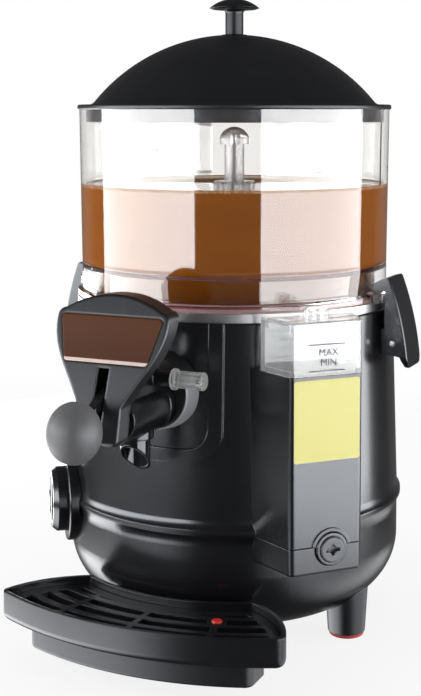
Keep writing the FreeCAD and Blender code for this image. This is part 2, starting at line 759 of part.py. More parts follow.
def support_boss(x):
    """Round boss inside the base that takes a tray support screw."""
    tip = support_screw(x, SCREW_R, 0).BoundBox.ZMax
    boss = rod(BOSS_R, Vector(x, SUPPORT_SCREW_Y, BASE_FLAT_Z), Vector(x, SUPPORT_SCREW_Y, tip + 2))
    return boss.common(housing_envelope(-WALL / 2))


def make_base_cover():
    plate = fused(tube(COVER_FLANGE_R, 0.01, BASE_FLAT_Z + WALL, BASE_FLAT_Z + WALL + COVER_T),
                  Part.makeCylinder(BASE_HOLE_R - FIT, WALL - 0.6, Vector(0, 0, BASE_FLAT_Z + 0.6)))
    for i in range(COVER_SLOTS):
        y = (i - (COVER_SLOTS - 1) / 2) * COVER_SLOT_PITCH
        plate = plate.cut(block(-COVER_SLOT_L / 2, COVER_SLOT_L / 2, y - COVER_SLOT_W / 2,
                                y + COVER_SLOT_W / 2, 0, BASE_FLAT_Z + PAST))
    return plate


def make_front_panel():
    """Curved panel round the tap, flush with the pad."""
    skin = spin((BODY_TOP_R - WALL, BODY_TOP_Z), (BODY_TOP_R + PANEL_RISE, BODY_TOP_Z),
                (BODY_R + PANEL_RISE, WALL_FOOT_Z), (BODY_R - WALL, WALL_FOOT_Z))
    panel = skin.common(front_outline(PANEL_HALF_W, PANEL_BOTTOM_Z, PANEL_CORNER_R))
    hole = rod(OUTLET_R + FIT, Vector(0, -BODY_R - PAST, TAP_Z), Vector(0, -BODY_R + PAST, TAP_Z))
    return panel.cut(hole)


# ---------------------------------------------------------------- legs and feet

def screw_at(x, y, seat, up, radius, head_r):
    """Screw whose head rests at a height and whose shank points up or down from it.
    A head radius of 0 leaves the plain hole."""
    way = 1 if up else -1
    screw = rod(radius, Vector(x, y, seat - way * 0.5), Vector(x, y, seat + way * SCREW_L))
    if head_r:
        head = rod(head_r, Vector(x, y, seat - way * SCREW_HEAD_H), Vector(x, y, seat))
        screw = fused(screw, head)
    return screw


def leg_screw(radius, head_r):
    """Screw from inside the lower housing down into a leg, standing on the sloping base."""
    depth = (LEG_PCR - BASE_FLAT_R) / (BODY_R - BASE_FLAT_R)
    floor = BASE_BEND_Z - (BASE_BEND_Z - BASE_FLAT_Z) * math.sqrt(1 - depth ** 2)
    return screw_at(0, -LEG_PCR, floor + WALL + LEG_SCREW_LIFT, False, radius, head_r)


def support_screw(x, radius, head_r):
    """Screw from below, through the tray support into the base of the housing."""
    return screw_at(x, SUPPORT_SCREW_Y, SUPPORT_BOTTOM_Z + SCREW_SINK, True, radius, head_r)


def make_legs():
    leg = Part.makeCone(LEG_BOTTOM_R, LEG_TOP_R, LEG_TOP_Z - FOOT_H, Vector(0, -LEG_PCR, FOOT_H))
    leg = leg.cut(housing_envelope(0.05))
    leg = leg.cut(rod(FOOT_R - 2, Vector(0, -LEG_PCR, 0), Vector(0, -LEG_PCR, FOOT_H + 2)))
    leg = leg.cut(leg_screw(SCREW_R, 0))
    return Part.makeCompound([turned(leg, angle) for angle in LEG_ANGLES])


def make_rubber_feet():
    """Red rubber pad with a plug that sits in the leg."""
    pad = rod(FOOT_R, Vector(0, -LEG_PCR, 0), Vector(0, -LEG_PCR, FOOT_H))
    low = edges_where(pad, lambda b, e: b.ZMax < 0.1)
    pad = pad.makeFillet(1.0, low)
    plug = rod(FOOT_R - 2.2, Vector(0, -LEG_PCR, FOOT_H - 0.5), Vector(0, -LEG_PCR, FOOT_H + 1.9))
    foot = fused(pad, plug)
    return Part.makeCompound([turned(foot, angle) for angle in LEG_ANGLES])


def make_base_screws():
    leg_one = leg_screw(SCREW_R, SCREW_HEAD_R)
    screws = [turned(leg_one, angle) for angle in LEG_ANGLES]
    for x in (-SUPPORT_SCREW_X, SUPPORT_SCREW_X):
        screws.append(support_screw(x, SCREW_R, SCREW_HEAD_R))
    return Part.makeCompound(screws)


# ---------------------------------------------------------------- tanks and heater

def outlet_bore(radius):
    return rod(radius, Vector(0, TAP_BACK_Y, TAP_Z), Vector(0, -TANK_R + 8, TAP_Z))


def make_product_tank():
    """Steel vessel with a turned-down rim and a dry column for the stirrer shaft."""
    out_r = TANK_R + STEEL_T
    shell = spin((COLUMN_R - 0.3, TANK_FLOOR_Z), (TANK_R, TANK_FLOOR_Z), (TANK_R, RIM_TOP_Z),
                 (RIM_R, RIM_TOP_Z), (RIM_R, BODY_TOP_Z), (RIM_R - STEEL_T, BODY_TOP_Z),
                 (RIM_R - STEEL_T, RIM_TOP_Z - STEEL_T), (out_r, RIM_TOP_Z - STEEL_T),
                 (out_r, TANK_FLOOR_Z - STEEL_T), (COLUMN_R - 0.3, TANK_FLOOR_Z - STEEL_T))
    column = tube(COLUMN_R, COLUMN_BORE_R, BOILER_FLOOR_Z, COLUMN_TOP_Z)
    tank = fused(shell, column)
    return tank.cut(outlet_bore(OUTLET_R + SLIDE))


def make_water_tank():
    out_r = BOILER_R
    in_r = BOILER_R - STEEL_T
    tank = spin((COLUMN_R + SLIDE, BOILER_FLOOR_Z), (out_r, BOILER_FLOOR_Z),
                (out_r, RIM_TOP_Z - STEEL_T), (in_r, RIM_TOP_Z - STEEL_T),
                (in_r, BOILER_FLOOR_Z + STEEL_T), (COLUMN_R + SLIDE, BOILER_FLOOR_Z + STEEL_T))
    tank = tank.cut(outlet_bore(OUTLET_R + SLIDE))
    tank = tank.cut(turned(pipe_bore(PIPE_R + SLIDE), GAUGE_DEG))
    for angle in heater_leg_angles():
        tank = tank.cut(turned(heater_leg(HEATER_TUBE_R + SLIDE), angle))
    return tank


def heater_leg_angles():
    return (180 - HEATER_GAP_DEG / 2, 180 + HEATER_GAP_DEG / 2)


def heater_leg(radius):
    z = BOILER_FLOOR_Z + STEEL_T + 8
    return rod(radius, Vector(0, -HEATER_RING_R, z - HEATER_LEG_L), Vector(0, -HEATER_RING_R, z))


def make_heating_element():
    """Ring heater in the water space, its two ends turned down through the floor."""
    z = BOILER_FLOOR_Z + STEEL_T + 8
    ring = Part.makeTorus(HEATER_RING_R, HEATER_TUBE_R, Vector(0, 0, z), Z_AXIS, -180, 180,
                          360 - HEATER_GAP_DEG)
    ring.rotate(ORIGIN, Z_AXIS, 90 + HEATER_GAP_DEG / 2)
    knees = []
    for angle in heater_leg_angles():
        knees.append(turned(heater_leg(HEATER_TUBE_R), angle))
        knees.append(turned(Part.makeSphere(HEATER_TUBE_R, Vector(0, -HEATER_RING_R, z)), angle))
    return fused(ring, *knees)


def make_outlet_pipe():
    """Tube from the product tank through the water space to the tap."""
    pipe = rod(OUTLET_R, Vector(0, TAP_BACK_Y, TAP_Z), Vector(0, -TANK_R - 0.1, TAP_Z))
    flange = rod(OUTLET_R + 4, Vector(0, -BOILER_R - 2.2, TAP_Z), Vector(0, -BOILER_R - 0.2, TAP_Z))
    bore = rod(OUTLET_BORE_R, Vector(0, TAP_BACK_Y - 1, TAP_Z), Vector(0, -TANK_R + 5, TAP_Z))
    return fused(pipe, flange).cut(bore)


# ---------------------------------------------------------------- bowl, seal and lid

def make_bowl():
    """Clear bowl: tapered wall over a thick base ring, with a lug for each latch."""
    flange_top = BOWL_Z + BOWL_FLANGE_T
    body = spin((BOWL_RING_R_IN, BOWL_Z), (BOWL_FLANGE_R - 0.8, BOWL_Z),
                ((BOWL_FLANGE_R - 0.2, BOWL_Z + 0.2), (BOWL_FLANGE_R, BOWL_Z + 0.8)),
                (BOWL_FLANGE_R, flange_top), (BOWL_R, flange_top + 1.2), (BOWL_R, BOWL_RING_TOP_Z),
                (BOWL_RIM_R, BOWL_RIM_Z), (BOWL_RIM_R - BOWL_WALL, BOWL_RIM_Z),
                (BOWL_R - BOWL_WALL, BOWL_RING_TOP_Z + 2),
                ((BOWL_R - BOWL_WALL - 0.8, BOWL_RING_TOP_Z + 0.6),
                 (BOWL_R - BOWL_WALL - 2.5, BOWL_RING_TOP_Z)),
                (BOWL_RING_R_IN + 2, BOWL_RING_TOP_Z),
                ((BOWL_RING_R_IN + 0.6, BOWL_RING_TOP_Z - 0.6), (BOWL_RING_R_IN, BOWL_RING_TOP_Z - 2)))
    lugs = tube(EAR_R, BOWL_R - 1, BOWL_Z, BOWL_Z + EAR_T).common(
        fused(block(-EAR_R - 5, EAR_R + 5, -EAR_HALF_W, EAR_HALF_W, BOWL_Z, BOWL_Z + EAR_T)))
    body = fused(body, *lugs.Solids)
    groove = tube(SEAL_R_OUT + FIT / 2, SEAL_R_IN - FIT / 2, BOWL_Z, BOWL_Z + SEAL_H - FIT)
    return body.cut(groove)


def make_bowl_seal():
    return tube(SEAL_R_OUT, SEAL_R_IN, RIM_TOP_Z, RIM_TOP_Z + SEAL_H)


def make_lid():
    """Spherical dome over a flat brim, with a skirt that hangs inside the bowl."""
    centre_z = DOME_TOP_Z - DOME_R
    brim_top = LID_Z + BRIM_T
    foot_z = centre_z + math.sqrt(DOME_R ** 2 - DOME_FOOT_R ** 2)
    in_r = DOME_R - LID_T
    skirt_out = BOWL_RIM_R - BOWL_WALL - SKIRT_GAP
    skirt_in = skirt_out - SKIRT_T
    in_foot_r = min(skirt_in, DOME_FOOT_R - LID_T * 0.6)
    in_foot_z = centre_z + math.sqrt(in_r ** 2 - in_foot_r ** 2)
    dome_mid = crown(DOME_FOOT_R, foot_z, DOME_TOP_Z)[0]
    dome = spin((0, DOME_TOP_Z), (dome_mid, (DOME_FOOT_R, foot_z)),
                ((DOME_FOOT_R + 1.6, brim_top + 1.0), (DOME_FOOT_R + 4.5, brim_top)),
                (BRIM_R - 1.2, brim_top), ((BRIM_R - 0.3, brim_top - 0.5), (BRIM_R, brim_top - 1.4)),
                (BRIM_R, LID_Z + 0.8), (BRIM_R - 0.8, LID_Z),
                (skirt_out, LID_Z), (skirt_out, LID_Z - SKIRT_H), (skirt_in, LID_Z - SKIRT_H),
                (skirt_in, LID_Z), (in_foot_r, LID_Z + 0.6), (in_foot_r, in_foot_z),
                crown(in_foot_r, in_foot_z, centre_z + in_r))
    seat = Part.makeCylinder(KNOB_STEM_R + 2.5, KNOB_SEAT_H, Vector(0, 0, DOME_TOP_Z - LID_T - 1.4))
    dome = fused(dome, seat)
    top_seat = Part.makeCylinder(KNOB_STEM_R + FIT / 2, 6, Vector(0, 0, DOME_TOP_Z - 1.0))
    screw = rod(KNOB_SCREW_R + SLIDE, Vector(0, 0, DOME_TOP_Z - PAST), Vector(0, 0, DOME_TOP_Z + 5))
    return dome.cut(top_seat).cut(screw)


def make_lid_knob():
    """Mushroom knob: a shallow domed cap on a round stem."""
    foot = DOME_TOP_Z - 1.0
    knob = spin((0, foot), (KNOB_STEM_R - 0.5, foot), (KNOB_STEM_R, foot + 0.5),
                (KNOB_STEM_R, KNOB_CAP_Z - 2.5),
                ((KNOB_STEM_R + 0.7, KNOB_CAP_Z - 0.8), (KNOB_STEM_R + 2.4, KNOB_CAP_Z)),
                (KNOB_CAP_R - 2.2, KNOB_CAP_Z + 0.6), (KNOB_CAP_R, KNOB_CAP_Z + KNOB_CAP_RIM_T),
                crown(KNOB_CAP_R, KNOB_CAP_Z + KNOB_CAP_RIM_T, KNOB_TOP_Z))
    hole = rod(KNOB_SCREW_R, Vector(0, 0, foot - 1), Vector(0, 0, foot + KNOB_SCREW_L - LID_T - 1))
    return knob.cut(hole)


def make_lid_knob_screw():
    seat = DOME_TOP_Z - LID_T - 1.4
    shank = rod(KNOB_SCREW_R, Vector(0, 0, seat - 0.5), Vector(0, 0, seat + KNOB_SCREW_L - 2))
    head = rod(KNOB_SCREW_HEAD_R, Vector(0, 0, seat - KNOB_SCREW_HEAD_H), Vector(0, 0, seat))
    return fused(shank, head)


# ---------------------------------------------------------------- stirrer and drive

def shaft_flat(radius, z0, z1):
    """Round bar with two flats, the drive end of the shaft."""
    bar = Part.makeCylinder(radius, z1 - z0, Vector(0, 0, z0))
    return bar.common(block(-radius * 0.72, radius * 0.72, -radius, radius, z0, z1))


def gearbox_top():
    return BOILER_FLOOR_Z - BRACKET_DROP - BRACKET_T


def make_drive_shaft():
    foot = gearbox_top() - 1.0 + FIT
    round_part = Part.makeCylinder(SHAFT_R, COLUMN_TOP_Z - foot, Vector(0, 0, foot))
    return fused(round_part, shaft_flat(SHAFT_R, COLUMN_TOP_Z - 1, COLUMN_TOP_Z + CAP_H * 0.6))


def make_shaft_bushes():
    low = tube(COLUMN_BORE_R - SLIDE, SHAFT_R + SLIDE, BOILER_FLOOR_Z + 1, BOILER_FLOOR_Z + 1 + BUSH_H)
    high = tube(COLUMN_BORE_R - SLIDE, SHAFT_R + SLIDE, COLUMN_TOP_Z - 1 - BUSH_H, COLUMN_TOP_Z - 1)
    return Part.makeCompound([low, high])


def sleeve_r():
    return COLUMN_R + SLEEVE_GAP + SLEEVE_T


def make_stirrer():
    """Sleeve over the column with a star-shaped froth breaker and two scraper blades."""
    r_in = COLUMN_R + SLEEVE_GAP
    floor = TANK_FLOOR_Z + BLADE_FLOOR_GAP
    sleeve = tube(sleeve_r(), r_in, floor, COLUMN_TOP_Z + FIT)
    petals = []
    for i in range(STAR_PETALS):
        petal = rod(STAR_R * 0.22, Vector(STAR_R * 0.78, 0, STAR_Z),
                    Vector(STAR_R * 0.78, 0, STAR_Z + STAR_H))
        petals.append(turned(petal, 360.0 * i / STAR_PETALS))
    star = fused(tube(STAR_R * 0.8, r_in, STAR_Z, STAR_Z + STAR_H), *petals)
    reach = TANK_R - BLADE_WALL_GAP
    blade = face(rz, (sleeve_r() - 0.5, floor), (reach - 2, floor), (reach, floor + 2),
                 (reach, floor + BLADE_H - 2), (reach - 2, floor + BLADE_H),
                 (reach - BLADE_TOP_INSET, floor + BLADE_H),
                 ((reach - BLADE_TOP_INSET - 18, floor + BLADE_H * 0.45), (sleeve_r() - 0.5, floor + 10)))
    blade = moved(blade.extrude(Vector(0, BLADE_T, 0)), y=-BLADE_T / 2)
    blades = []
    for angle in (30, 210):
        blades.append(turned(blade, angle))
    return fused(sleeve, star, *blades)


def make_stirrer_cap():
    """Domed grip that couples the sleeve to the shaft's flats."""
    z = COLUMN_TOP_Z + FIT
    cap = spin((0, z), (CAP_R, z), (CAP_R, z + CAP_H * 0.35),
               crown(CAP_R, z + CAP_H * 0.35, z + CAP_H))
    return cap.cut(shaft_flat(SHAFT_R + SLIDE, z - 1, COLUMN_TOP_Z + CAP_H * 0.6 + SLIDE))


def make_motor_bracket():
    """Plate under the water tank that carries gearbox, controls and wiring."""
    top = BOILER_FLOOR_Z - BRACKET_DROP
    plate = tube(BRACKET_R, SHAFT_R + 4, top - BRACKET_T, top)
    for i in range(PILLARS):
        pillar = rod(PILLAR_R, Vector(0, -PILLAR_PCR, top - 1), Vector(0, -PILLAR_PCR, BOILER_FLOOR_Z))
        plate = plate.fuse(turned(pillar, 60 + 120 * i))
    for angle in heater_leg_angles():
        plate = plate.cut(turned(heater_leg(HEATER_TUBE_R + 3), angle))
    return plate.removeSplitter()


def make_gearbox():
    top = gearbox_top()
    case = Part.makeCylinder(GEARBOX_R, GEARBOX_H, Vector(0, 0, top - GEARBOX_H))
    rims = edges_where(case, lambda b, e: b.ZLength < 0.1)
    case = case.makeFillet(2.0, rims)
    return case.cut(Part.makeCylinder(SHAFT_R + SLIDE, 12, Vector(0, 0, top - 1.0)))


def make_motor():
    top = gearbox_top() - GEARBOX_H
    can = Part.makeCylinder(MOTOR_R, MOTOR_H, Vector(0, 0, top - MOTOR_H))
    rims = edges_where(can, lambda b, e: b.ZMax < top - MOTOR_H + 0.1)
    can = can.makeFillet(3.0, rims)
    stack = block(-MOTOR_R - 5, MOTOR_R + 5, -MOTOR_R - 1, MOTOR_R + 1, top - MOTOR_H * 0.72,
                  top - MOTOR_H * 0.3)
    return fused(can, stack)


def make_safety_thermostat():
    """Snap-action cut-out clamped to the water tank's floor."""
    z = BOILER_FLOOR_Z
    x = BOILER_R - SAFETY_WALL_GAP - SAFETY_R
    body = rod(SAFETY_R, Vector(x, SAFETY_SIDE, z - SAFETY_H), Vector(x, SAFETY_SIDE, z))
    leads = []
    for side in (-0.5, 0.5):
        mid = x + side * SAFETY_LEAD_PITCH
        leads.append(block(mid - 0.6, mid + 0.6, SAFETY_SIDE - 2, SAFETY_SIDE + 2, z - SAFETY_H - SAFETY_LEAD_L,
                           z - SAFETY_H + 0.1))
    return fused(body, *leads)


# ---------------------------------------------------------------- gauge box

def make_gauge_vessel():
    """Clear water vessel: a window flush with the cover above, a slimmer body inside it below."""
    low_in = GAUGE_WALL + FIT
    floor = GAUGE_BOTTOM_Z + GAUGE_WALL + FIT
    low = gauge_prism(low_in, GAUGE_BACK, floor, GAUGE_SPLIT_Z + 2)
    high = gauge_prism(0, GAUGE_BACK, GAUGE_SPLIT_Z + 0.05, GAUGE_TOP_Z)
    body = fused(low, high)
    back_in = GAUGE_BACK + GAUGE_CLEAR_WALL
    body = body.cut(gauge_prism(low_in + GAUGE_CLEAR_WALL, back_in, floor + GAUGE_CLEAR_WALL,
                                GAUGE_SPLIT_Z + 3))
    body = body.cut(gauge_prism(GAUGE_CLEAR_WALL, back_in, GAUGE_SPLIT_Z + 3, GAUGE_TOP_Z + 5))
    body = body.cut(drain_bore(DRAIN_SHANK_R + FIT))
    body = body.cut(pipe_bore(PIPE_R + SLIDE))
    return turned(body, GAUGE_DEG)


def make_gauge_lid():
    plate = gauge_prism(-GAUGE_LID_LIP, GAUGE_BACK, GAUGE_TOP_Z, GAUGE_TOP_Z + GAUGE_LID_T)
    top = edges_where(plate, lambda b, e: b.ZMin > GAUGE_TOP_Z + GAUGE_LID_T - 0.1)
    plate = plate.makeFillet(0.8, top)
    skirt_in = GAUGE_CLEAR_WALL + FIT
    skirt = gauge_prism(skirt_in, GAUGE_BACK + skirt_in, GAUGE_TOP_Z - GAUGE_LID_SKIRT, GAUGE_TOP_Z + 0.5)
    skirt = skirt.cut(gauge_prism(skirt_in + 1.6, GAUGE_BACK + skirt_in + 1.6,
                                  GAUGE_TOP_Z - GAUGE_LID_SKIRT - 1, GAUGE_TOP_Z + 1))
    z = GAUGE_TOP_Z + GAUGE_LID_T - 0.3
    middle = -(GAUGE_FACE + GAUGE_BACK) / 2
    knob = block(-GAUGE_KNOB_W / 2, GAUGE_KNOB_W / 2, middle - GAUGE_KNOB_T / 2, middle + GAUGE_KNOB_T / 2,
                 z, z + GAUGE_KNOB_H)
    tops = edges_where(knob, lambda b, e: b.ZMin > z + 1 and b.YLength > 1)
    knob = knob.makeFillet(3.0, tops)
    ribs = []
    for i in range(GAUGE_KNOB_RIBS):
        x = (i - (GAUGE_KNOB_RIBS - 1) / 2) * GAUGE_KNOB_W / GAUGE_KNOB_RIBS
        ribs.append(rod(GAUGE_KNOB_T * 0.75, Vector(x, middle, z), Vector(x, middle, z + GAUGE_KNOB_H - 2.2)))
    return turned(fused(plate, skirt, knob, *ribs), GAUGE_DEG)


def make_balance_pipe():
    """Silicone tube that joins the gauge vessel to the water tank."""
    pipe = rod(PIPE_R, Vector(0, -GAUGE_BACK - GAUGE_CLEAR_WALL, PIPE_Z),
               Vector(0, -BOILER_R + STEEL_T + 0.4, PIPE_Z))
    return turned(pipe.cut(pipe_bore(PIPE_BORE_R)), GAUGE_DEG)


def drain_back():
    """Where the collar stops, at the front wall of the clear vessel."""
    return -GAUGE_FACE + GAUGE_WALL + FIT


def make_drain_collar():
    front = -GAUGE_FACE - DRAIN_COLLAR_STAND
    ring = rod(DRAIN_COLLAR_R, Vector(DRAIN_OFFSET, front, DRAIN_Z),
               Vector(DRAIN_OFFSET, drain_back(), DRAIN_Z))
    rim = edges_where(ring, lambda b, e: b.YMax < front + 0.1)
    ring = ring.makeFillet(0.9, rim)
    hole = rod(DRAIN_PLUG_R + SLIDE, Vector(DRAIN_OFFSET, front - 5, DRAIN_Z),
               Vector(DRAIN_OFFSET, 0, DRAIN_Z))
    return turned(ring.cut(hole), GAUGE_DEG)


def make_drain_plug():
    """Quarter-turn plug with a keyed socket in its face."""
    front = -GAUGE_FACE - DRAIN_PLUG_STAND
    back = drain_back() - FIT / 3
    head = rod(DRAIN_PLUG_R, Vector(DRAIN_OFFSET, front, DRAIN_Z), Vector(DRAIN_OFFSET, back, DRAIN_Z))
    rim = edges_where(head, lambda b, e: b.YMax < front + 0.1)
    head = head.makeFillet(1.0, rim)
    shank = rod(DRAIN_SHANK_R, Vector(DRAIN_OFFSET, back - 0.5, DRAIN_Z),
                Vector(DRAIN_OFFSET, drain_back() + GAUGE_CLEAR_WALL + 3, DRAIN_Z))
    plug = fused(head, shank)
    socket = rod(KEYHOLE_R, Vector(DRAIN_OFFSET, front - 1, DRAIN_Z),
                 Vector(DRAIN_OFFSET, front + KEY_DEPTH, DRAIN_Z))
    slot = block(DRAIN_OFFSET - KEY_SLOT_L / 2, DRAIN_OFFSET + KEY_SLOT_L / 2, front - 1, front + KEY_DEPTH,
                 DRAIN_Z - KEY_SLOT_W / 2, DRAIN_Z + KEY_SLOT_W / 2)
    cross = block(DRAIN_OFFSET - KEY_SLOT_W / 2, DRAIN_OFFSET + KEY_SLOT_W / 2, front - 1, front + KEY_DEPTH,
                  DRAIN_Z - KEY_SLOT_L * 0.36, DRAIN_Z + KEY_SLOT_L * 0.36)
    return turned(plug.cut(fused(socket, slot, cross)), GAUGE_DEG)


def make_gauge_label():
    plate = block(-LABEL_HALF_W, LABEL_HALF_W, -GAUGE_FACE - LABEL_T, -GAUGE_FACE, LABEL_BOTTOM_Z,
                  LABEL_TOP_Z)
    corners = edges_where(plate, lambda b, e: b.YLength > LABEL_T / 2)
    return turned(plate.makeFillet(1.5, corners), GAUGE_DEG)


# ---------------------------------------------------------------- dial, switch and inlet

def make_dial_bezel():
    """Round boss that the dial turns on, shaped to the housing behind it."""
    front = -DIAL_BEZEL_FACE
    disc = rod(DIAL_BEZEL_R, Vector(0, front, DIAL_Z), Vector(0, front + 14, DIAL_Z))
    rim = edges_where(disc, lambda b, e: b.YMax < front + 0.1)
    disc = disc.makeFillet(1.5, rim)
    hole = dial_bore(DIAL_SPINDLE_R + 0.6)
    return turned(disc.cut(hole), DIAL_DEG).cut(housing_envelope(0.1))


def make_dial_knob():
    """Knob with a chamfered figure ring and a sunk grip with a bar across it."""
    back = -DIAL_BEZEL_FACE - FIT
    front = -DIAL_KNOB_FACE
    edge = DIAL_KNOB_R - DIAL_CHAMFER
    outline = face(yz, (back, 0), (back, DIAL_KNOB_R), (front + DIAL_CHAMFER_H, DIAL_KNOB_R), (front, edge),
                   (front, DIAL_GRIP_R + 1), (front + 1, DIAL_GRIP_R), (front + DIAL_GRIP_D, DIAL_GRIP_R),
                   (front + DIAL_GRIP_D, 0))
    knob = outline.revolve(ORIGIN, Vector(0, 1, 0), 360)
    bar = block(-DIAL_BAR_W / 2, DIAL_BAR_W / 2, front - 0.0, front + DIAL_GRIP_D + 1, -DIAL_GRIP_R - 0.5,
                DIAL_GRIP_R + 0.5)
    ends = edges_where(bar, lambda b, e: b.YMax < front + 0.1 and b.ZLength > 5)
    knob = fused(knob, bar.makeFillet(1.4, ends))
    bore = rod(DIAL_SPINDLE_R, Vector(0, back + 1, 0), Vector(0, front + 6, 0))
    return turned(moved(knob.cut(bore), z=DIAL_Z), DIAL_DEG)


def make_dial_spindle():
    return turned(rod(DIAL_SPINDLE_R, Vector(0, -DIAL_KNOB_FACE + 6, DIAL_Z),
                      Vector(0, -THERMOSTAT_FACE + 4, DIAL_Z)), DIAL_DEG)


def make_thermostat():
    back = -THERMOSTAT_FACE + THERMOSTAT_D
    body = block(-THERMOSTAT_HALF, THERMOSTAT_HALF, -THERMOSTAT_FACE, back, DIAL_Z - THERMOSTAT_HALF,
                 DIAL_Z + THERMOSTAT_HALF)
    uprights = edges_where(body, lambda b, e: b.YLength > 5)
    body = body.makeFillet(3.0, uprights)
    neck = rod(DIAL_SPINDLE_R + 1.6, Vector(0, -BODY_R + WALL - 1, DIAL_Z),
               Vector(0, -THERMOSTAT_FACE + 1, DIAL_Z))
    bore = rod(DIAL_SPINDLE_R + SLIDE, Vector(0, -BODY_R - 5, DIAL_Z),
               Vector(0, -THERMOSTAT_FACE + 4 + FIT, DIAL_Z))
    return turned(fused(body, neck).cut(bore), DIAL_DEG)


def switch_opening():
    return block(-SWITCH_W / 2 - FIT, SWITCH_W / 2 + FIT, -BODY_R - 10, -BODY_R + 20,
                 SWITCH_Z - SWITCH_H / 2 - FIT, SWITCH_Z + SWITCH_H / 2 + FIT)


def lamp_bore(radius):
    return rod(radius, Vector(0, -BODY_R - 10, LAMP_Z), Vector(0, -BODY_R + PAST, LAMP_Z))


def switch_face():
    """Depth of the switch frame's back on the wall at the switch's height."""
    return -wall_r(SWITCH_Z) - 0.4


def make_switch_case():
    front = switch_face()
    frame = block(-SWITCH_W / 2 - SWITCH_FRAME, SWITCH_W / 2 + SWITCH_FRAME, front - SWITCH_FRAME_T, front,
                  SWITCH_Z - SWITCH_H / 2 - SWITCH_FRAME, SWITCH_Z + SWITCH_H / 2 + SWITCH_FRAME)
    rim = edges_where(frame, lambda b, e: b.YMax < front - SWITCH_FRAME_T + 0.1)
    frame = frame.makeFillet(0.8, rim)
    case = block(-SWITCH_W / 2, SWITCH_W / 2, front - 0.5, front + SWITCH_D, SWITCH_Z - SWITCH_H / 2,
                 SWITCH_Z + SWITCH_H / 2)
    well_w = SWITCH_W / 2 - SWITCH_WALL
    well_h = SWITCH_H / 2 - SWITCH_WALL
    well = block(-well_w, well_w, front - 5, front + SWITCH_WELL_D, SWITCH_Z - well_h, SWITCH_Z + well_h)
    pivot = rod(ROCKER_PIVOT_R, Vector(-SWITCH_W / 2 + 0.5, front + 3, SWITCH_Z),
                Vector(SWITCH_W / 2 - 0.5, front + 3, SWITCH_Z))
    return turned(fused(frame, case).cut(well).fuse(pivot).removeSplitter(), SWITCH_DEG)


def make_rocker():
    """Rocker with a hollow face, resting on its off side."""
    front = switch_face()
    half_w = SWITCH_W / 2 - SWITCH_WALL - ROCKER_GAP
    half_h = SWITCH_H / 2 - SWITCH_WALL - ROCKER_GAP - 0.4
    pivot_y = front + 3
    top = pivot_y - ROCKER_RISE - 2.4
    outline = face(lambda y, z: Vector(-half_w, y, z), (top, -half_h), ((top + 1.1, 0), (top, half_h)),
                   (pivot_y + 0.5, half_h), (pivot_y + 3.2, 3.5), (pivot_y + 3.2, -3.5),
                   (pivot_y + 0.5, -half_h))
    rocker = outline.extrude(Vector(2 * half_w, 0, 0))
    rocker = rocker.cut(rod(ROCKER_PIVOT_R + SLIDE, Vector(-10, pivot_y, 0), Vector(10, pivot_y, 0)))
    rocker.rotate(Vector(0, pivot_y, 0), Vector(1, 0, 0), -ROCKER_TILT)
    return turned(moved(rocker, z=SWITCH_Z), SWITCH_DEG)


def make_pilot_lamp():
    """Lens with a rim, built standing up and then laid on the housing wall."""
    lamp = spin((0, -LAMP_BARREL_L), (LAMP_R, -LAMP_BARREL_L), (LAMP_R, 0), (LAMP_RIM_R, 0),
                (LAMP_RIM_R - 0.4, LAMP_RIM_T), (LAMP_R, LAMP_RIM_T), crown(LAMP_R, LAMP_RIM_T, LAMP_TOP))
    lamp.rotate(ORIGIN, Vector(1, 0, 0), 90)
    return turned(moved(lamp, y=-wall_r(LAMP_Z) - FIT, z=LAMP_Z), LAMP_DEG)


def gland_bore(radius):
    return rod(radius, Vector(0, BODY_R + 30, GLAND_Z), Vector(0, BODY_R - PAST, GLAND_Z))


def make_cable_gland():
    """Hexagon gland with a domed nose; its bore is the cable inlet."""
    turns = [math.radians(60 * i) for i in range(7)]
    hexagon = [Vector(GLAND_NUT_R * math.cos(a), 0, GLAND_NUT_R * math.sin(a)) for a in turns]
    nut = Part.Face(Part.makePolygon(hexagon)).extrude(Vector(0, GLAND_NUT_T, 0))
    nut = moved(nut, y=BODY_R + FIT, z=GLAND_Z)
    nose_foot = BODY_R + GLAND_NUT_T
    nose = face(yz, (nose_foot, 0), (nose_foot, GLAND_R), (GLAND_REACH - 5, GLAND_R),
                ((GLAND_REACH - 1.2, GLAND_R - 1.4), (GLAND_REACH, GLAND_BORE_R + 0.6)), (GLAND_REACH, 0))
    nose = moved(nose.revolve(ORIGIN, Vector(0, 1, 0), 360), z=GLAND_Z)
    shank = rod(GLAND_R - 0.6, Vector(0, BODY_R - WALL - 8, GLAND_Z), Vector(0, BODY_R + 3, GLAND_Z))
    return fused(nut, nose, shank).cut(gland_bore(GLAND_BORE_R))


# ---------------------------------------------------------------- latches

def latch_profile():
    """Side view of the latch lever at the right, as (x, z): a hook above, a thumb tip below."""
    hook_under = BOWL_Z + EAR_T + FIT
    hook_top = hook_under + LATCH_HOOK_T
    inner_x = EAR_R + 0.9
    cheek_low = LATCH_PIN_Z - 8
    return [(LATCH_HOOK_X, hook_under), (inner_x, hook_under), (inner_x - 0.9, LATCH_PIN_Z + 16),
            (inner_x + 1.5, cheek_low), (LATCH_TIP_X - 6, cheek_low - 1.5),
            (LATCH_TIP_X - 3.6, LATCH_TIP_Z + 1)], hook_top


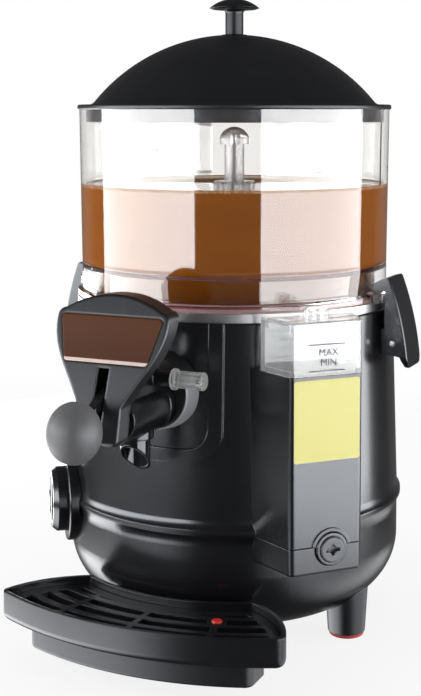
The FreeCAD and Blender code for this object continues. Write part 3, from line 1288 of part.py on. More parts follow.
def make_latch():
    points, hook_top = latch_profile()
    outline = face(lambda x, z: Vector(x, -LATCH_HALF_W, z), points[0], *points[1:],
                   ((LATCH_TIP_X - 1.2, LATCH_TIP_Z - 1.4), (LATCH_TIP_X, LATCH_TIP_Z + 1.6)),
                   ((LATCH_TIP_X - 5.2, LATCH_PIN_Z + 18), (LATCH_TOP_X, LATCH_TOP_Z - 1.5)),
                   (LATCH_TOP_X - 1.6, LATCH_TOP_Z), (LATCH_TOP_X - 6, LATCH_TOP_Z - 1.0),
                   (LATCH_HOOK_X, hook_top - 1.4))
    solid = outline.extrude(Vector(0, 2 * LATCH_HALF_W, 0))
    inner_x = EAR_R + 0.9
    room_top = BOWL_Z - 6
    hollow = face(lambda x, z: Vector(x, -LATCH_HALF_W + LATCH_CHEEK_T, z), (inner_x - PAST, room_top),
                  (LATCH_PIN_X + 1.8, room_top), (LATCH_PIN_X + LATCH_KNUCKLE_R + 1.2, LATCH_PIN_Z),
                  (LATCH_TIP_X - LATCH_SKIN_T, LATCH_TIP_Z - 10), (inner_x - PAST, LATCH_TIP_Z - 10))
    hollow = hollow.extrude(Vector(0, 2 * (LATCH_HALF_W - LATCH_CHEEK_T), 0))
    solid = solid.cut(hollow)
    back = edges_where(solid, lambda b, e: b.YLength < 0.1 and b.XMin > LATCH_TOP_X - 2 and b.ZLength > 20
                       and (b.YMax < -LATCH_HALF_W + 0.1 or b.YMin > LATCH_HALF_W - 0.1))
    solid = solid.makeFillet(1.2, back)
    solid = solid.common(latch_tongue())
    return solid.cut(latch_pin_bar(LATCH_PIN_R + SLIDE, LATCH_HALF_W + 2))


def latch_tongue():
    """The latch seen from its side of the machine: square above, rounded at the thumb tip."""
    low = LATCH_TIP_Z - 1.6
    bar = block(LATCH_HOOK_X - 5, LATCH_TIP_X + 5, -LATCH_HALF_W, LATCH_HALF_W, low, LATCH_TOP_Z + 2)
    corners = edges_where(bar, lambda b, e: b.XLength > 1 and b.ZMax < low + 0.1)
    return bar.makeFillet(LATCH_TIP_R, corners)


def latch_pin_bar(radius, half_l):
    return rod(radius, Vector(LATCH_PIN_X, -half_l, LATCH_PIN_Z), Vector(LATCH_PIN_X, half_l, LATCH_PIN_Z))


def make_latch_bracket():
    """Block on the housing wall that carries the latch pin."""
    plate = block(BODY_TOP_R - WALL, BODY_TOP_R + 9.4, -LATCH_EAR_HALF_W, LATCH_EAR_HALF_W,
                  LATCH_PIN_Z - 9, LATCH_PIN_Z + 9)
    knuckle = rod(LATCH_KNUCKLE_R, Vector(LATCH_PIN_X, -LATCH_EAR_HALF_W, LATCH_PIN_Z),
                  Vector(LATCH_PIN_X, LATCH_EAR_HALF_W, LATCH_PIN_Z))
    web = block(BODY_TOP_R + 5, LATCH_PIN_X, -LATCH_EAR_HALF_W, LATCH_EAR_HALF_W,
                LATCH_PIN_Z - LATCH_KNUCKLE_R, LATCH_PIN_Z + LATCH_KNUCKLE_R)
    return fused(plate, web, knuckle).cut(housing_envelope(0.1)).cut(latch_pin_bar(LATCH_PIN_R + SLIDE, 30))


def make_latch_pin():
    half = LATCH_HALF_W + 0.8
    return latch_pin_bar(LATCH_PIN_R, half)


def make_latch_right():
    return make_latch()


def make_latch_left():
    return mirrored(make_latch())


def make_latch_brackets():
    return Part.makeCompound([make_latch_bracket(), mirrored(make_latch_bracket())])


def make_latch_pins():
    return Part.makeCompound([make_latch_pin(), mirrored(make_latch_pin())])


# ---------------------------------------------------------------- tap

def along_y(radius, y0, y1, z=TAP_Z, x=0.0):
    return rod(radius, Vector(x, y0, z), Vector(x, y1, z))


def tap_shell(grow, y0, y1):
    """Outside of the tap barrel."""
    return along_y(TAP_R + grow, y0, y1, TAP_SHELL_Z)


def make_tap_nut():
    """Flared clamp ring that holds the tap on the front panel."""
    face_y = -BODY_R - PAD_RISE - TAP_NUT_T
    centre = Vector(0, face_y, TAP_Z + TAP_NUT_RISE)
    ring = Part.makeCone(TAP_NUT_FRONT_R, TAP_NUT_R, -BODY_TOP_R - face_y, centre, Vector(0, 1, 0))
    rim = edges_where(ring, lambda b, e: b.YMax < face_y + 0.1)
    ring = ring.makeFillet(1.6, rim)
    ring = ring.cut(tap_shell(FIT, face_y - 1, TAP_BACK_Y + 0.05))
    return ring.cut(along_y(OUTLET_R + FIT, face_y, 0)).cut(housing_envelope(PANEL_RISE + 0.05))


def spout_bore(radius):
    return rod(radius, Vector(0, SPOUT_Y, SPOUT_LOW_Z - 10), Vector(0, SPOUT_Y, TAP_Z))


def make_tap_body():
    barrel = tap_shell(0, TAP_FRONT_Y, TAP_BACK_Y)
    ring = tap_shell(0.5, TAP_RING_Y - 1.6, TAP_RING_Y + 1.6)
    boss = rod(SPOUT_R + 2.4, Vector(0, SPOUT_Y, TAP_SHELL_LOW_Z - 1.0), Vector(0, SPOUT_Y, TAP_Z))
    body = fused(barrel, ring, boss, *yoke_plates())
    body = body.cut(along_y(OUTLET_R + FIT / 2, TAP_BACK_Y - 4, TAP_BACK_Y + 5))
    body = body.cut(along_y(TAP_BORE_R, TAP_SEAT_Y - 1, TAP_BACK_Y + 5))
    body = body.cut(along_y(TAP_CHAMBER_R, TAP_FRONT_Y - 1, TAP_SEAT_Y))
    reach = 2 * SPOUT_R
    above = block(-reach, reach, SPOUT_Y - reach, SPOUT_Y + reach, TAP_SHELL_LOW_Z + 0.7, TAP_Z + 2 * TAP_R)
    body = body.cut(spout_bore(SPOUT_R + FIT / 2).cut(above))
    body = body.cut(spout_bore(SPOUT_R - SPOUT_WALL))
    slot_w = YOKE_GAP - 0.2
    body = body.cut(block(-slot_w, slot_w, PIVOT_Y - 9, PIVOT_Y + 9, TAP_Z, TAP_SHELL_Z + TAP_R + 3))
    groove_w = LEVER_T / 2 + LEVER_GROOVE_GAP
    groove_z = KNEE_Z - LEVER_ARM_H / 2 - LEVER_GROOVE_GAP
    body = body.cut(block(-groove_w, groove_w, TAP_FRONT_Y - 1, PIVOT_Y, groove_z, TAP_SHELL_Z + TAP_R + 3))
    body = body.cut(rod(PIN_R + SLIDE, Vector(-40, PIVOT_Y, PIVOT_Z), Vector(40, PIVOT_Y, PIVOT_Z)))
    return body


def shield_y(z, depth=0.0):
    """Y of the cover's face at a height, or of a parallel plane behind it."""
    return SHIELD_Y - SHIELD_LEAN * (SHIELD_Z - z) + depth


def yoke_plates():
    """Two plates that carry the lever pin and, at their tops, the tap cover."""
    reach = SHIELD_WALL + 0.3
    low_z = TAP_Z + 6
    outline = face(lambda y, z: Vector(YOKE_GAP, y, z), (PIVOT_Y + 8, low_z), (PIVOT_Y + 8, PIVOT_Z),
                   ((PIVOT_Y, PIVOT_Z + 8.5), (PIVOT_Y - 9, PIVOT_Z + 6)),
                   (shield_y(YOKE_TOP_Z, reach) + 9, YOKE_TOP_Z), (shield_y(YOKE_TOP_Z, reach), YOKE_TOP_Z),
                   (shield_y(TAP_Z + 20, reach), TAP_Z + 20), (TAP_FRONT_Y, TAP_Z + 12), (TAP_FRONT_Y, low_z))
    plate = outline.extrude(Vector(YOKE_T, 0, 0))
    bush = rod(PIN_R + 2.6, Vector(YOKE_GAP + YOKE_T / 2, PIVOT_Y, PIVOT_Z),
               Vector(PIN_FLANGE_X - FIT, PIVOT_Y, PIVOT_Z))
    low = SHIELD_SCREW_Z - 3
    web = face(lambda y, z: Vector(-YOKE_GAP - 0.5, y, z), (shield_y(low, reach), low),
               (shield_y(YOKE_TOP_Z, reach), YOKE_TOP_Z),
               (shield_y(YOKE_TOP_Z, reach) + YOKE_WEB_T, YOKE_TOP_Z),
               (shield_y(low, reach) + YOKE_WEB_T, low))
    web = web.extrude(Vector(2 * YOKE_GAP + 1, 0, 0))
    web = web.cut(shield_screw(SHIELD_SCREW_R + FIT / 2, 0))
    return [plate, mirrored(plate), web, bush]


def shield_screw(radius, head_r):
    """Screw from behind, through the yoke's web into the cover."""
    z = SHIELD_SCREW_Z + 3
    seat_y = shield_y(z, SHIELD_WALL + 0.3) + YOKE_WEB_T + 1.1
    start = Vector(0, seat_y, z)
    screw = rod(radius, Vector(0, shield_y(z, SIGN_RECESS + 0.4), z), start + Vector(0, 0.5, 0))
    if head_r:
        screw = screw.fuse(rod(head_r, start, start + Vector(0, 2.2, 0)))
    return screw


def make_shield_screw():
    return shield_screw(SHIELD_SCREW_R, SHIELD_SCREW_HEAD_R).removeSplitter()


def make_tap_cap():
    """Screw cap that closes the front of the tap barrel and guides the plunger stem."""
    cap = along_y(TAP_CAP_R, TAP_FRONT_Y - TAP_CAP_T, TAP_FRONT_Y - 0.05)
    rim = edges_where(cap, lambda b, e: b.YMax < TAP_FRONT_Y - TAP_CAP_T + 0.1)
    cap = cap.makeFillet(1.5, rim)
    plug = along_y(TAP_CHAMBER_R - SLIDE, TAP_FRONT_Y - 1, TAP_FRONT_Y + GUIDE_L)
    bore = along_y(PLUNGER_STEM_R + SLIDE, TAP_FRONT_Y - TAP_CAP_T + 1.2, TAP_FRONT_Y + GUIDE_L + 1)
    return fused(cap, plug).cut(bore)


def make_spout():
    """Short pipe with a slanting mouth."""
    top = TAP_SHELL_LOW_Z + 0.5
    pipe = rod(SPOUT_R, Vector(0, SPOUT_Y, SPOUT_LOW_Z - PAST), Vector(0, SPOUT_Y, top))
    pipe = pipe.cut(rod(SPOUT_R - SPOUT_WALL, Vector(0, SPOUT_Y, SPOUT_LOW_Z - 30),
                        Vector(0, SPOUT_Y, top + 5)))
    knife = block(-30, 30, -60, 60, -60, 0)
    knife.rotate(ORIGIN, Vector(1, 0, 0), -SPOUT_CUT_DEG)
    knife.translate(Vector(0, SPOUT_Y + SPOUT_R, SPOUT_LOW_Z))
    return pipe.cut(knife)


def plunger_stations():
    """Y of the head's two faces, the groove's two faces and the front collar's face."""
    groove_back = PIVOT_Y + PLUNGER_GROOVE / 2
    groove_front = PIVOT_Y - PLUNGER_GROOVE / 2
    head_front = TAP_SEAT_Y - 4.5
    head_back = TAP_SEAT_Y + 4.5
    return head_back, head_front, groove_back, groove_front


def make_plunger():
    """Sliding valve: head in the seat, a groove for the lever's tines, a guide stem in front."""
    head_back, head_front, groove_back, groove_front = plunger_stations()
    head = along_y(PLUNGER_HEAD_R, head_front, head_back)
    rims = edges_where(head, lambda b, e: b.YLength < 0.1)
    head = head.makeFillet(1.0, rims)
    ring_y = TAP_SEAT_Y + 2
    groove = along_y(PLUNGER_HEAD_R + 2, ring_y - O_RING_R - SLIDE, ring_y + O_RING_R + SLIDE)
    groove = groove.cut(along_y(o_ring_centre_r() - O_RING_R - SLIDE, TAP_FRONT_Y, TAP_BACK_Y))
    neck = along_y(PLUNGER_NECK_R, groove_front - 1, head_front + 1)
    rear = along_y(PLUNGER_COLLAR_R, groove_back, groove_back + PLUNGER_COLLAR_T)
    front = along_y(PLUNGER_COLLAR_R, groove_front - PLUNGER_COLLAR_T, groove_front)
    stem = along_y(PLUNGER_STEM_R, PLUNGER_STEM_END_Y, groove_front)
    return fused(head.cut(groove), neck, rear, front, stem)


def o_ring_centre_r():
    return TAP_BORE_R - SLIDE - O_RING_R


def make_plunger_ring():
    ring = Part.makeTorus(o_ring_centre_r(), O_RING_R, ORIGIN, Vector(0, 1, 0))
    return moved(ring, y=TAP_SEAT_Y + 2, z=TAP_Z)


def make_tap_spring():
    """Closing spring round the plunger's stem, seated on the cap and drawn at its open length."""
    _, _, _, groove_front = plunger_stations()
    seat = TAP_FRONT_Y + GUIDE_L
    travel = PUSH_ARM * math.sin(math.radians(LIFT_DEG))
    length = groove_front - PLUNGER_COLLAR_T - travel - FIT - seat - 2 * SPRING_WIRE_R
    helix = Part.makeHelix(length / SPRING_COILS, length, SPRING_R)
    profile = Part.Wire(Part.makeCircle(SPRING_WIRE_R, Vector(SPRING_R, 0, 0), Vector(0, 1, 0)))
    coil = Part.Wire(helix).makePipeShell([profile], True, True)
    coil.rotate(ORIGIN, Vector(1, 0, 0), -90)
    return moved(coil, y=seat + SPRING_WIRE_R, z=TAP_Z)


def lever_line(y):
    """Height of the lever's centre line in front of its knee."""
    return KNEE_Z + (BALL_Z - KNEE_Z) * (y - KNEE_Y) / (BALL_Y - KNEE_Y)


def make_lever():
    hub_half = YOKE_GAP - LEVER_SIDE_GAP
    hub = rod(LEVER_HUB_R, Vector(-hub_half, PIVOT_Y, PIVOT_Z), Vector(hub_half, PIVOT_Y, PIVOT_Z))
    end_y = BALL_Y + BALL_R + 3
    half = LEVER_ARM_H / 2
    thin = half - 0.8
    arm = face(lambda y, z: Vector(-LEVER_T / 2, y, z), (PIVOT_Y, PIVOT_Z + half + 1),
               (KNEE_Y, KNEE_Z + half),
               (end_y, lever_line(end_y) + thin), (end_y, lever_line(end_y) - thin), (KNEE_Y, KNEE_Z - half),
               (PIVOT_Y, PIVOT_Z - half - 1))
    arm = arm.extrude(Vector(LEVER_T, 0, 0))
    tang = rod(LEVER_T / 2 - 0.4, Vector(0, end_y + 1, lever_line(end_y + 1)),
               Vector(0, BALL_Y + 4, lever_line(BALL_Y + 4)))
    tines = []
    x_in = PLUNGER_NECK_R + 0.5
    for side in (-1, 1):
        x0 = side * x_in
        x1 = side * (x_in + TINE_T)
        low, high = min(x0, x1), max(x0, x1)
        tines.append(block(low, high, PIVOT_Y - TINE_W / 2, PIVOT_Y + TINE_W / 2, TAP_Z, PIVOT_Z))
        tines.append(rod(TINE_TIP_R, Vector(low, PIVOT_Y, TAP_Z), Vector(high, PIVOT_Y, TAP_Z)))
    lever = fused(hub, arm, tang, *tines)
    return lever.cut(rod(PIN_R + SLIDE, Vector(-40, PIVOT_Y, PIVOT_Z), Vector(40, PIVOT_Y, PIVOT_Z)))


def make_ball_knob():
    """Egg-shaped grip with a small boss where the lever enters."""
    stretch = FreeCAD.Matrix()
    stretch.A33 = BALL_HALF_H / BALL_R
    ball = Part.makeSphere(BALL_R).transformGeometry(stretch)
    ball.translate(Vector(0, BALL_Y, BALL_Z))
    back = BALL_Y + BALL_R + 1.6
    boss = rod(BALL_BOSS_R, Vector(0, back, lever_line(back)), Vector(0, BALL_Y + 8, lever_line(BALL_Y + 8)))
    end_y = BALL_Y + BALL_R + 3
    bore = rod(LEVER_T / 2 - 0.4, Vector(0, end_y + 1, lever_line(end_y + 1)),
               Vector(0, BALL_Y + 4, lever_line(BALL_Y + 4)))
    return fused(ball, boss).cut(bore)


def make_pull_pin():
    """Pivot pin with a ribbed clear head, pulled out by hand for cleaning."""
    def bar(radius, x0, x1):
        return rod(radius, Vector(x0, PIVOT_Y, PIVOT_Z), Vector(x1, PIVOT_Y, PIVOT_Z))

    x = PIN_FLANGE_X
    grip_end = x + PIN_FLANGE_T + PIN_GRIP_L
    pieces = [bar(PIN_R, -YOKE_GAP - YOKE_T - 2, x + 1), bar(PIN_FLANGE_R, x, x + PIN_FLANGE_T),
              bar(PIN_GRIP_R, x + PIN_FLANGE_T - 0.5, grip_end)]
    for i in range(PIN_RIBS):
        a = 2 * math.pi * i / PIN_RIBS
        y = PIVOT_Y + PIN_GRIP_R * math.cos(a)
        z = PIVOT_Z + PIN_GRIP_R * math.sin(a)
        pieces.append(rod(PIN_RIB_R, Vector(x + PIN_FLANGE_T - 0.5, y, z), Vector(grip_end, y, z)))
    cap = bar(PIN_CAP_R, grip_end - 0.5, grip_end + PIN_CAP_T)
    rim = edges_where(cap, lambda b, e: b.XMin > grip_end + PIN_CAP_T - 0.1)
    pieces.append(cap.makeFillet(0.9, rim))
    return fused(*pieces)


# ---------------------------------------------------------------- tap cover

def shield_face(inset):
    """Front outline of the cover, drawn upright as (x, z) and shrunk by an inset."""
    w = SHIELD_HALF_W - inset
    c = max(SHIELD_CORNER_R - inset, 0.8)
    k = c * (1 - math.sqrt(0.5))
    top = SHIELD_TOP_Z - inset
    shoulder = SHIELD_SHOULDER_Z - inset * 0.6
    waist_w = SHIELD_WAIST_HALF_W - inset
    foot_w = SHIELD_FOOT_HALF_W - inset
    low = SHIELD_BOTTOM_Z + inset
    belly_z = SHIELD_SHOULDER_Z - (SHIELD_SHOULDER_Z - SHIELD_WAIST_Z) * 0.36
    flank_z = SHIELD_SHOULDER_Z - (SHIELD_SHOULDER_Z - SHIELD_WAIST_Z) * 0.78
    belly_w = SHIELD_HALF_W * 0.95 - inset
    flank_w = SHIELD_HALF_W * 0.62 - inset
    right = [(w, shoulder - c), (belly_w, belly_z), (flank_w, flank_z), (waist_w, SHIELD_WAIST_Z - 3)]
    left = [(-p[0], p[1]) for p in reversed(right)]
    return face(lambda x, z: Vector(x, 0, z), (-(w - c), shoulder), ((0, top), (w - c, shoulder)),
                ((w - k, shoulder - k), right[0]), right[1:], (foot_w, low + 2), (foot_w - 2, low),
                (-foot_w + 2, low), (-foot_w, low + 2), left[0], left[1:],
                ((-w + k, shoulder - k), (-(w - c), shoulder)))


def lean(shape):
    """Shears an upright solid so that its face follows the cover's lean."""
    matrix = FreeCAD.Matrix()
    matrix.A23 = SHIELD_LEAN
    matrix.A24 = SHIELD_Y - SHIELD_LEAN * SHIELD_Z
    return shape.transformGeometry(matrix)


def make_tap_cover():
    outer = shield_face(0).extrude(Vector(0, SHIELD_D, 0))
    outer = outer.makeFillet(SHIELD_EDGE_R, edges_where(outer, lambda b, e: b.YMax < 0.1))
    inner = moved(shield_face(SHIELD_WALL).extrude(Vector(0, SHIELD_D, 0)), y=SHIELD_WALL)
    shell = outer.cut(inner)
    slot = block(-SHIELD_SLOT_HALF_W, SHIELD_SLOT_HALF_W, -5, SHIELD_D + 5, SHIELD_SLOT_BOTTOM_Z,
                 SHIELD_SLOT_TOP_Z)
    sign = moved(sign_blank(FIT, SIGN_RECESS + 1), y=-1)
    shell = shell.cut(slot).cut(sign)
    boss = block(-SHIELD_BOSS_R, SHIELD_BOSS_R, SHIELD_WALL - 0.5, SHIELD_WALL + 0.25, SHIELD_SCREW_Z - 1,
                 SHIELD_SCREW_Z + 7)
    cover = lean(fused(shell, boss))
    return cover.cut(tap_shell(FIT, TAP_FRONT_Y - TAP_CAP_T, -100)).cut(shield_screw(SHIELD_SCREW_R, 0))


def sign_blank(grow, depth):
    """The name plate's outline with rounded corners, grown by a gap and extruded."""
    top_w = SIGN_TOP_HALF_W + grow
    low_w = SIGN_BOTTOM_HALF_W + grow
    flat = face(lambda x, z: Vector(x, 0, z), (-top_w, SIGN_TOP_Z + grow), (top_w, SIGN_TOP_Z + grow),
                (low_w, SIGN_BOTTOM_Z - grow), (-low_w, SIGN_BOTTOM_Z - grow))
    blank = flat.extrude(Vector(0, depth, 0))
    return blank.makeFillet(SIGN_CORNER_R + grow, edges_where(blank, lambda b, e: b.YLength > depth - 0.1))


def make_sign_plate():
    """Blank name plate with a softened edge, let into the cover."""
    plate = sign_blank(0, SIGN_T)
    plate = plate.makeFillet(SIGN_EDGE_R, edges_where(plate, lambda b, e: b.YMax < 0.1))
    return lean(moved(plate, y=SIGN_RECESS - SIGN_T))


# ---------------------------------------------------------------- drip tray

def tray_arc_y(x, inset):
    return TRAY_ARC_Y - math.sqrt((TRAY_ARC_R - inset) ** 2 - x ** 2)


def tray_back_r():
    return BODY_R + TRAY_BACK_GAP


def tray_face():
    """Plan of the tray's rim: front arc, curved flanks and a hollow back round the housing."""
    tip = (TRAY_HALF_W, tray_arc_y(TRAY_HALF_W, 0))
    back_r = tray_back_r()
    end = (TRAY_SIDE_END_X, -math.sqrt(back_r ** 2 - TRAY_SIDE_END_X ** 2))
    mid = TRAY_SIDE_MID
    return face(xy, (-tip[0], tip[1]), ((0, tray_arc_y(0, 0)), tip), (mid, end),
                ((0, -back_r), (-end[0], end[1])), ((-mid[0], mid[1]), (-tip[0], tip[1])))


def tray_solid(inset, z0, z1):
    """The tray's plan shrunk by an inset, extruded, with rounded tips where the radius lasts."""
    wire = tray_face().OuterWire
    if inset:
        wire = wire.makeOffset2D(-inset)
    solid = Part.Face(wire).extrude(Vector(0, 0, z1 - z0))
    corner = TRAY_CORNER_R - inset * 0.8
    if corner > 1:
        tips = edges_where(solid, lambda b, e: b.ZLength > 1 and b.XLength < 0.1 and
                           abs(b.XMin) > TRAY_HALF_W - inset * 3 - 4)
        solid = solid.makeFillet(corner, tips)
    return moved(solid, z=z0)


def make_drip_tray():
    body = tray_solid(0, TRAY_BOTTOM_Z, TRAY_TOP_Z)
    low = edges_where(body, lambda b, e: b.ZMax < TRAY_BOTTOM_Z + 0.1)
    body = body.makeFillet(TRAY_BOTTOM_R, low)
    inner = tray_solid(TRAY_WALL, TRAY_BOTTOM_Z + TRAY_FLOOR_T, TRAY_TOP_Z + 5)
    return body.cut(inner)


def grille_z():
    return TRAY_TOP_Z - GRILLE_DROP - GRILLE_T


def make_grille():
    """Slotted plate on four short legs, with an eye for the float."""
    low = grille_z()
    inset = TRAY_WALL + GRILLE_GAP
    plate = tray_solid(inset, low, low + GRILLE_T)
    field = tray_solid(inset + GRILLE_FRAME, low - 5, low + GRILLE_T + 5)
    outer_r = TRAY_ARC_R - inset - GRILLE_FRAME
    inner_r = TRAY_ARC_Y + tray_back_r()
    rows = int((outer_r - inner_r) / GRILLE_BAR_PITCH) + 2
    slots = []
    for i in range(rows):
        r = outer_r - i * GRILLE_BAR_PITCH
        slots.append(moved(tube(r, r - GRILLE_SLOT_W, low - 2, low + GRILLE_T + 2), y=TRAY_ARC_Y))
    cutter = Part.makeCompound(slots).common(field)
    for i in range(GRILLE_RIBS):
        rib = block(-GRILLE_RIB_W / 2, GRILLE_RIB_W / 2, -TRAY_ARC_R, 0, low - 3, low + GRILLE_T + 3)
        rib.rotate(ORIGIN, Z_AXIS, (i - (GRILLE_RIBS - 1) / 2) * GRILLE_RIB_DEG)
        cutter = cutter.cut(moved(rib, y=TRAY_ARC_Y))
    eye = rod(FLOAT_EYE_R, Vector(FLOAT_X, FLOAT_Y, low - 3), Vector(FLOAT_X, FLOAT_Y, low + GRILLE_T + 3))
    plate = plate.cut(cutter.cut(eye))
    plate = plate.cut(rod(FLOAT_R + 0.5, Vector(FLOAT_X, FLOAT_Y, low - 3),
                          Vector(FLOAT_X, FLOAT_Y, low + PAST)))
    legs = []
    floor = TRAY_BOTTOM_Z + TRAY_FLOOR_T
    bar_w = GRILLE_BAR_PITCH - GRILLE_SLOT_W
    for side_x, row in ((GRILLE_LEG_FRONT_X, 1), (GRILLE_LEG_BACK_X, 3)):
        r = outer_r - row * GRILLE_BAR_PITCH + bar_w / 2
        y = TRAY_ARC_Y - math.sqrt(r ** 2 - side_x ** 2)
        for x in (-side_x, side_x):
            legs.append(rod(GRILLE_LEG_R, Vector(x, y, floor + 0.05), Vector(x, y, low + 1)))
    return fused(plate, *legs)


def make_float():
    """Red full-tray indicator that rises through the grille."""
    floor = TRAY_BOTTOM_Z + TRAY_FLOOR_T + 0.1
    top = TRAY_TOP_Z - GRILLE_DROP + 1.2
    stem = rod(FLOAT_R, Vector(FLOAT_X, FLOAT_Y, floor), Vector(FLOAT_X, FLOAT_Y, top))
    crown = edges_where(stem, lambda b, e: b.ZMin > top - 0.1)
    stem = stem.makeFillet(1.2, crown)
    foot = rod(FLOAT_FOOT_R, Vector(FLOAT_X, FLOAT_Y, floor), Vector(FLOAT_X, FLOAT_Y, floor + FLOAT_FOOT_H))
    return fused(stem, foot)


def make_tray_support():
    """Shelf under the tray, screwed to the base of the lower housing."""
    top = TRAY_BOTTOM_Z - 0.05
    w = SUPPORT_HALF_W
    neck = SUPPORT_NECK_HALF_W
    arc_end = tray_arc_y(w, SUPPORT_INSET)
    shoulder_y = -BODY_R - TRAY_BACK_GAP - 6
    plan = face(xy, (-w, arc_end), ((0, tray_arc_y(0, SUPPORT_INSET)), (w, arc_end)), (w, shoulder_y - 8),
                (w - 16, shoulder_y + 6), (neck, SUPPORT_NECK_Y), (-neck, SUPPORT_NECK_Y),
                (-w + 16, shoulder_y + 6), (-w, shoulder_y - 8))
    shelf = plan.extrude(Vector(0, 0, top - SUPPORT_BOTTOM_Z))
    corners = edges_where(shelf, lambda b, e: b.ZLength > 1 and b.XLength < 0.1 and abs(b.XMin) > w - 0.1
                          and b.YMax < arc_end + 0.1)
    shelf = shelf.makeFillet(7.0, corners)
    low = edges_where(shelf, lambda b, e: b.ZMax < 0.1 and b.YMax < arc_end + 12)
    shelf = moved(shelf.makeFillet(2.0, low), z=SUPPORT_BOTTOM_Z)
    shelf = shelf.cut(housing_envelope(0.1))
    for x in (-SUPPORT_SCREW_X, SUPPORT_SCREW_X):
        shelf = shelf.cut(support_screw(x, SCREW_R + FIT / 2, 0))
        shelf = shelf.cut(rod(SCREW_HEAD_R + FIT, Vector(x, SUPPORT_SCREW_Y, 0),
                              Vector(x, SUPPORT_SCREW_Y, SUPPORT_BOTTOM_Z + SCREW_SINK)))
    return shelf


# ---------------------------------------------------------------- the pieces

PIECES = {
    "upper_housing": make_upper_housing,
    "lower_housing": make_lower_housing,
    "base_cover": make_base_cover,
    "front_panel": make_front_panel,
    "legs": make_legs,
    "rubber_feet": make_rubber_feet,
    "base_screws": make_base_screws,
    "product_tank": make_product_tank,
    "water_tank": make_water_tank,
    "heating_element": make_heating_element,
    "outlet_pipe": make_outlet_pipe,
    "bowl": make_bowl,
    "bowl_seal": make_bowl_seal,
    "lid": make_lid,
    "lid_knob": make_lid_knob,
    "lid_knob_screw": make_lid_knob_screw,
    "drive_shaft": make_drive_shaft,
    "shaft_bushes": make_shaft_bushes,
    "stirrer": make_stirrer,
    "stirrer_cap": make_stirrer_cap,
    "motor_bracket": make_motor_bracket,
    "gearbox": make_gearbox,
    "motor": make_motor,
    "safety_thermostat": make_safety_thermostat,
    "gauge_vessel": make_gauge_vessel,
    "gauge_lid": make_gauge_lid,
    "balance_pipe": make_balance_pipe,
    "drain_collar": make_drain_collar,
    "drain_plug": make_drain_plug,
    "gauge_label": make_gauge_label,
    "dial_bezel": make_dial_bezel,
    "dial_knob": make_dial_knob,
    "dial_spindle": make_dial_spindle,
    "thermostat": make_thermostat,
    "switch_case": make_switch_case,
    "rocker": make_rocker,
    "pilot_lamp": make_pilot_lamp,
    "cable_gland": make_cable_gland,
    "latch_right": make_latch_right,
    "latch_left": make_latch_left,
    "latch_brackets": make_latch_brackets,
    "latch_pins": make_latch_pins,
    "tap_nut": make_tap_nut,
    "tap_body": make_tap_body,
    "tap_cap": make_tap_cap,
    "spout": make_spout,
    "plunger": make_plunger,
    "plunger_ring": make_plunger_ring,
    "tap_spring": make_tap_spring,
    "lever": make_lever,
    "ball_knob": make_ball_knob,
    "pull_pin": make_pull_pin,
    "tap_cover": make_tap_cover,
    "shield_screw": make_shield_screw,
    "sign_plate": make_sign_plate,
    "drip_tray": make_drip_tray,
    "drip_grille": make_grille,
    "float_indicator": make_float,
    "tray_support": make_tray_support,
}

os.makedirs("parts", exist_ok=True)
for node_name, make_piece in PIECES.items():
    place(make_piece(), node_name)
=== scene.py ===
import bmesh
import bpy
import math
from mathutils import Matrix, Vector


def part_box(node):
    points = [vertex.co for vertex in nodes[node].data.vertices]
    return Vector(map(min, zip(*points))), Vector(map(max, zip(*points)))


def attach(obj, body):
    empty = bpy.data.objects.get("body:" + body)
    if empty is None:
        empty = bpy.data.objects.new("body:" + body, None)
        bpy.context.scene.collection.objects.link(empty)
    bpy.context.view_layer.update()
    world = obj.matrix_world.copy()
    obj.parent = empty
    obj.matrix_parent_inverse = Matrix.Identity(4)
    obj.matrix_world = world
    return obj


# Hot chocolate dispenser: finishes, the drink in the bowl, printed marks, floor, light and camera.
# Blender's own values are in metres, and MM turns a size in millimetres into metres.

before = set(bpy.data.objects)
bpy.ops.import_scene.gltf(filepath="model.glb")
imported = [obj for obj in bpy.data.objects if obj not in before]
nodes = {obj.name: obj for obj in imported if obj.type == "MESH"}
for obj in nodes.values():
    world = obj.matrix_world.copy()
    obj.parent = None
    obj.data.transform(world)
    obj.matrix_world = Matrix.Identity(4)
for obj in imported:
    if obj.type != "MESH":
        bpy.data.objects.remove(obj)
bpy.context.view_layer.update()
MM = 0.001


def middle(node):
    """Middle of a node's box."""
    low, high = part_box(node)
    return (low + high) / 2


def rgb(red, green, blue):
    return (red, green, blue, 1.0)


def tinted(colour, share):
    """A colour made darker or lighter."""
    return rgb(*[channel * share for channel in colour[:3]])


AXIS = Vector((0.0, middle("bowl_seal").y, 0.0))      # where the stirrer's axis meets the floor
BLACK = rgb(0.0098, 0.01, 0.0114)
WHITE = rgb(1.0, 1.0, 1.0)

# Heights and radii in millimetres, and angles in degrees off the tap, to the right of it.
DRINK_TOP = 323.2
FROTH_DEPTH = 1.6
STIRRER_HOLE_R = 17.0
BOWL_FRONT_R = 114.5
FILL_LINE_Z = 350.7
GAUGE_DEG = 46.5
GAUGE_FRONT = 156.3
DIAL_DEG = -53.0
DIAL_FACE = 138.6
DIAL_BEZEL = 128.0
DIAL_Z = 92.0
INK_THICK = 0.12

SPARK_GRAIN = 1900.0            # fineness of the grain that spark erosion leaves in a mould
ACRYLIC_IOR = 1.49
SPIN_STEPS = 128


# ---------------------------------------------------------------- finishes

